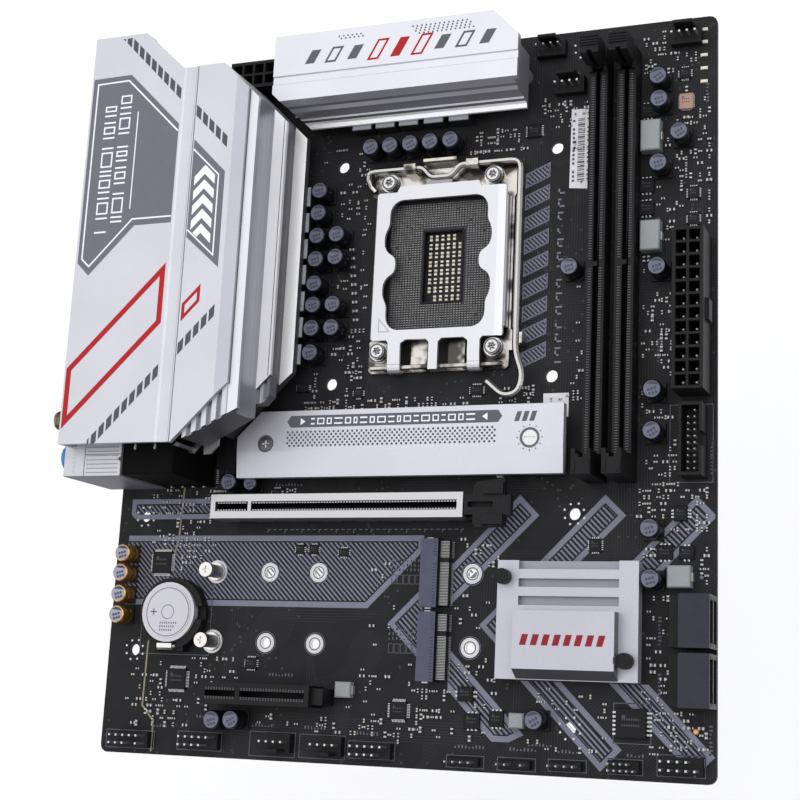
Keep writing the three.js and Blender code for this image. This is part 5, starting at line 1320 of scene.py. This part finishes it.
# ------------------------------------------------------------------ print on the first drive slot's heatsink
mh = Part("m2_print", "m2_heatsink")
A0, A1, A2 = 8.99, 9.03, 9.05
mh.prism([(68.6, 108.3), (141.8, 108.3), (143.2, 110.3), (141.8, 112.3), (68.6, 112.3), (67.2, 110.3)], A0, A1, "ink_mid")
x = 76.0
k = 0
while x < 134.5:
    w = (1.4, 2.6, 1.8, 3.0, 2.2)[k % 5]
    if k % 3 == 0:
        mh.box(x, x + w, 109.2, 109.7, A0, A2, "ink_white")
        mh.box(x, x + w, 110.9, 111.4, A0, A2, "ink_white")
    else:
        mh.stroke([(x + 0.2, 109.4), (x + w - 0.2, 109.4), (x + w - 0.2, 111.2), (x + 0.2, 111.2)], 0.4, A0, A2, "ink_white", closed=True)
    x += w + 0.9
    k += 1
for s, x in ((1, 72.2), (-1, 138.2)):
    mh.prism([(x, 109.1), (x + s * 1.8, 110.3), (x, 111.5)], A0, A2, "ink_white")
for j in range(6):
    y = 106.75 - j * 0.92
    for i in range(44):
        x = 67.7 + (j % 2) * 0.84 + i * 1.68
        if x < 141.2:
            mh.prism([(x + 0.42 * math.cos(a), y + 0.42 * math.sin(a)) for a in (0, 0.785, 1.571, 2.356, 3.1416, 3.927, 4.712, 5.498)], A0, A1, "ink_dark")
# painted shade: a dark ring round the heatsink screw
mh.ringflat(59.6, 103.1, 2.35, 2.95, A0, A1, "painted_shade_deep", 28)
for i in range(3):
    mh.prism([(147.2 + i * 2.5, 108.4), (148.8 + i * 2.5, 108.4), (149.8 + i * 2.5, 111.6), (148.2 + i * 2.5, 111.6)], A0, A1, "ink_mid")
# painted shade: a dark ring round the lock knob
mh.ringflat(152.5, 103.1, 2.5, 3.3, A0, A1, "painted_shade_deep", 28)
for a in range(12):
    t = a * math.pi / 6
    mh.prism([(152.5 + r * math.cos(t + d), 103.1 + r * math.sin(t + d)) for r, d in ((3.8, -0.04), (4.3, -0.04), (4.3, 0.04), (3.8, 0.04))], A0, A1, "ink_mid")

# ------------------------------------------------------------------ print on the chipset heatsink
hc = Part("chipset_print")
for k in range(8):
    x = 151.9 + k * 3.45
    hc.prism([(x, 38.5), (x + 2.0, 38.5), (x + 2.9, 41.8), (x + 0.9, 41.8)], 11.99, 12.035, "ink_red2")

# ------------------------------------------------------------------ coin cell face
cc = Part("cell_face", "coin_cell")
cx, cy = 25.1, 46.9
cc.ringflat(cx, cy, 7.9, 8.2, 5.49, 5.53, "cell_dark", 40)
cc.ringflat(cx, cy, 4.2 - 2.0, 2.45, 5.49, 5.52, "cell_dark", 24)
cc.box(cx - 6.6, cx - 4.2, cy - 0.22, cy + 0.22, 5.49, 5.525, "cell_dark")
cc.box(cx - 5.62, cx - 5.18, cy - 1.2, cy + 1.2, 5.49, 5.525, "cell_dark")
for k in range(3):
    n = 8 - k
    for i in range(n):
        cc.box(cx - 2.8 + i * 0.85, cx - 2.35 + i * 0.85, cy - 4.0 - k * 1.2, cy - 3.3 - k * 1.2, 5.49, 5.52, "cell_dark")

# ------------------------------------------------------------------ stickers
st = Part("stickers")
# wide code label beside the memory slots: bars and plain marks, nothing readable
st.prism([(160.9, 188.2), (168.6, 187.4), (168.9, 215.4), (161.2, 216.0)], 0.02, 0.1, "label")
y = 190.2
k = 0
while y < 212.6:
    w = (0.25, 0.5, 0.3, 0.7, 0.25, 0.4)[k % 6]
    st.box(163.5, 165.9, y, y + w, 0.09, 0.125, "label_ink")
    y += w + (0.3, 0.45, 0.25)[k % 3]
    k += 1
for i in range(15):
    if i % 5 != 3:
        st.box(161.7, 162.5, 190.2 + i * 1.5, 191.1 + i * 1.5, 0.09, 0.125, "label_ink")
        st.box(166.7, 167.5, 190.6 + i * 1.5, 191.3 + i * 1.5, 0.09, 0.125, "label_ink")
st.prism([(153.9, 111.2), (162.4, 111.2), (162.4, 119.0), (153.9, 119.0)], 0.02, 0.1, "label")


# ------------------------------------------------------------------ build the pieces
for p in (pr, hp, pads, tr, cap, ck, ic, sm, lp, pin, xh, tl, sl, io, tb, so, lpm, lv, sr, gp, hl, ht, mh, hc, cc, st):
    p.make()

# ------------------------------------------------------------------ camera, light and floor
scene = bpy.context.scene


def rodrigues(r):
    th = math.sqrt(sum(a * a for a in r))
    k = [a / th for a in r]
    K = Matrix(((0, -k[2], k[1]), (k[2], 0, -k[0]), (-k[1], k[0], 0)))
    return Matrix.Identity(3) + K * math.sin(th) + (K @ K) * (1 - math.cos(th))


R = rodrigues((2.85760032, -5.2383e-4, -0.532645349))
T = Vector((-113.031469, 136.698556, 534.912041))
eye = -(R.transposed() @ T)
rot = R.transposed() @ Matrix(((1, 0, 0), (0, -1, 0), (0, 0, -1)))
cd = bpy.data.cameras.new("view")
cd.sensor_width = 36.0
cd.lens = 1573.9 / 800 * 36.0
cd.shift_x = -(432.77 - 400) / 800
cd.shift_y = (349.07 - 400) / 800
cd.clip_start = 0.01
cd.clip_end = 50
cam = bpy.data.objects.new("view", cd)
scene.collection.objects.link(cam)
cam.matrix_world = Matrix.Translation(W(eye)) @ rot.to_4x4()
scene.camera = cam

world = bpy.data.worlds.new("studio")
scene.world = world
world.use_nodes = True
wt = world.node_tree
wc = wt.nodes.new("ShaderNodeTexCoord")
wx = wt.nodes.new("ShaderNodeSeparateXYZ")
wt.links.new(wc.outputs["Generated"], wx.inputs[0])
wr = wt.nodes.new("ShaderNodeMapRange")
for i, v in enumerate((0.0, 0.9, 0.30, 0.60)):
    wr.inputs[1 + i].default_value = v
wt.links.new(wx.outputs[2], wr.inputs[0])
wt.nodes["Background"].inputs[0].default_value = (0.97, 0.975, 1.0, 1)
wt.links.new(wr.outputs[0], wt.nodes["Background"].inputs[1])


def softbox(name, at, aim, size, power, col=(1, 1, 1)):
    d = bpy.data.lights.new(name, "AREA")
    d.shape = "RECTANGLE"
    d.size, d.size_y = size
    d.energy = power
    d.color = col
    o = bpy.data.objects.new(name, d)
    scene.collection.objects.link(o)
    o.location = at
    o.rotation_euler = (Vector(aim) - Vector(at)).to_track_quat("-Z", "Y").to_euler()
    return o


softbox("key", (-0.35, 0.42, 1.25), (0, 0, 0), (2.2, 2.2), 16.5)
softbox("fill", (0.80, 0.22, 0.95), (0, 0, 0), (1.4, 1.4), 8.0)
softbox("side", (-0.9, -0.6, 0.6), (0, 0, 0), (0.5, 0.8), 2.6)

fm = bpy.data.meshes.new("floor")
fz = -0.45
fm.from_pydata([(-8, -8, fz), (8, -8, fz), (8, 8, fz), (-8, 8, fz)], [], [(0, 1, 2, 3)])
fo = bpy.data.objects.new("floor", fm)
scene.collection.objects.link(fo)
fmat, fnt, fsh = tree("floor_pale")
fsh.inputs["Base Color"].default_value = (0.97, 0.97, 0.98, 1)
fsh.inputs["Roughness"].default_value = 0.9
fsh.inputs["Specular IOR Level"].default_value = 0.1
fm.materials.append(fmat)

scene.view_settings.view_transform = "Standard"
scene.view_settings.look = "None"
scene.view_settings.exposure = 0.0
scene.view_settings.gamma = 1.0

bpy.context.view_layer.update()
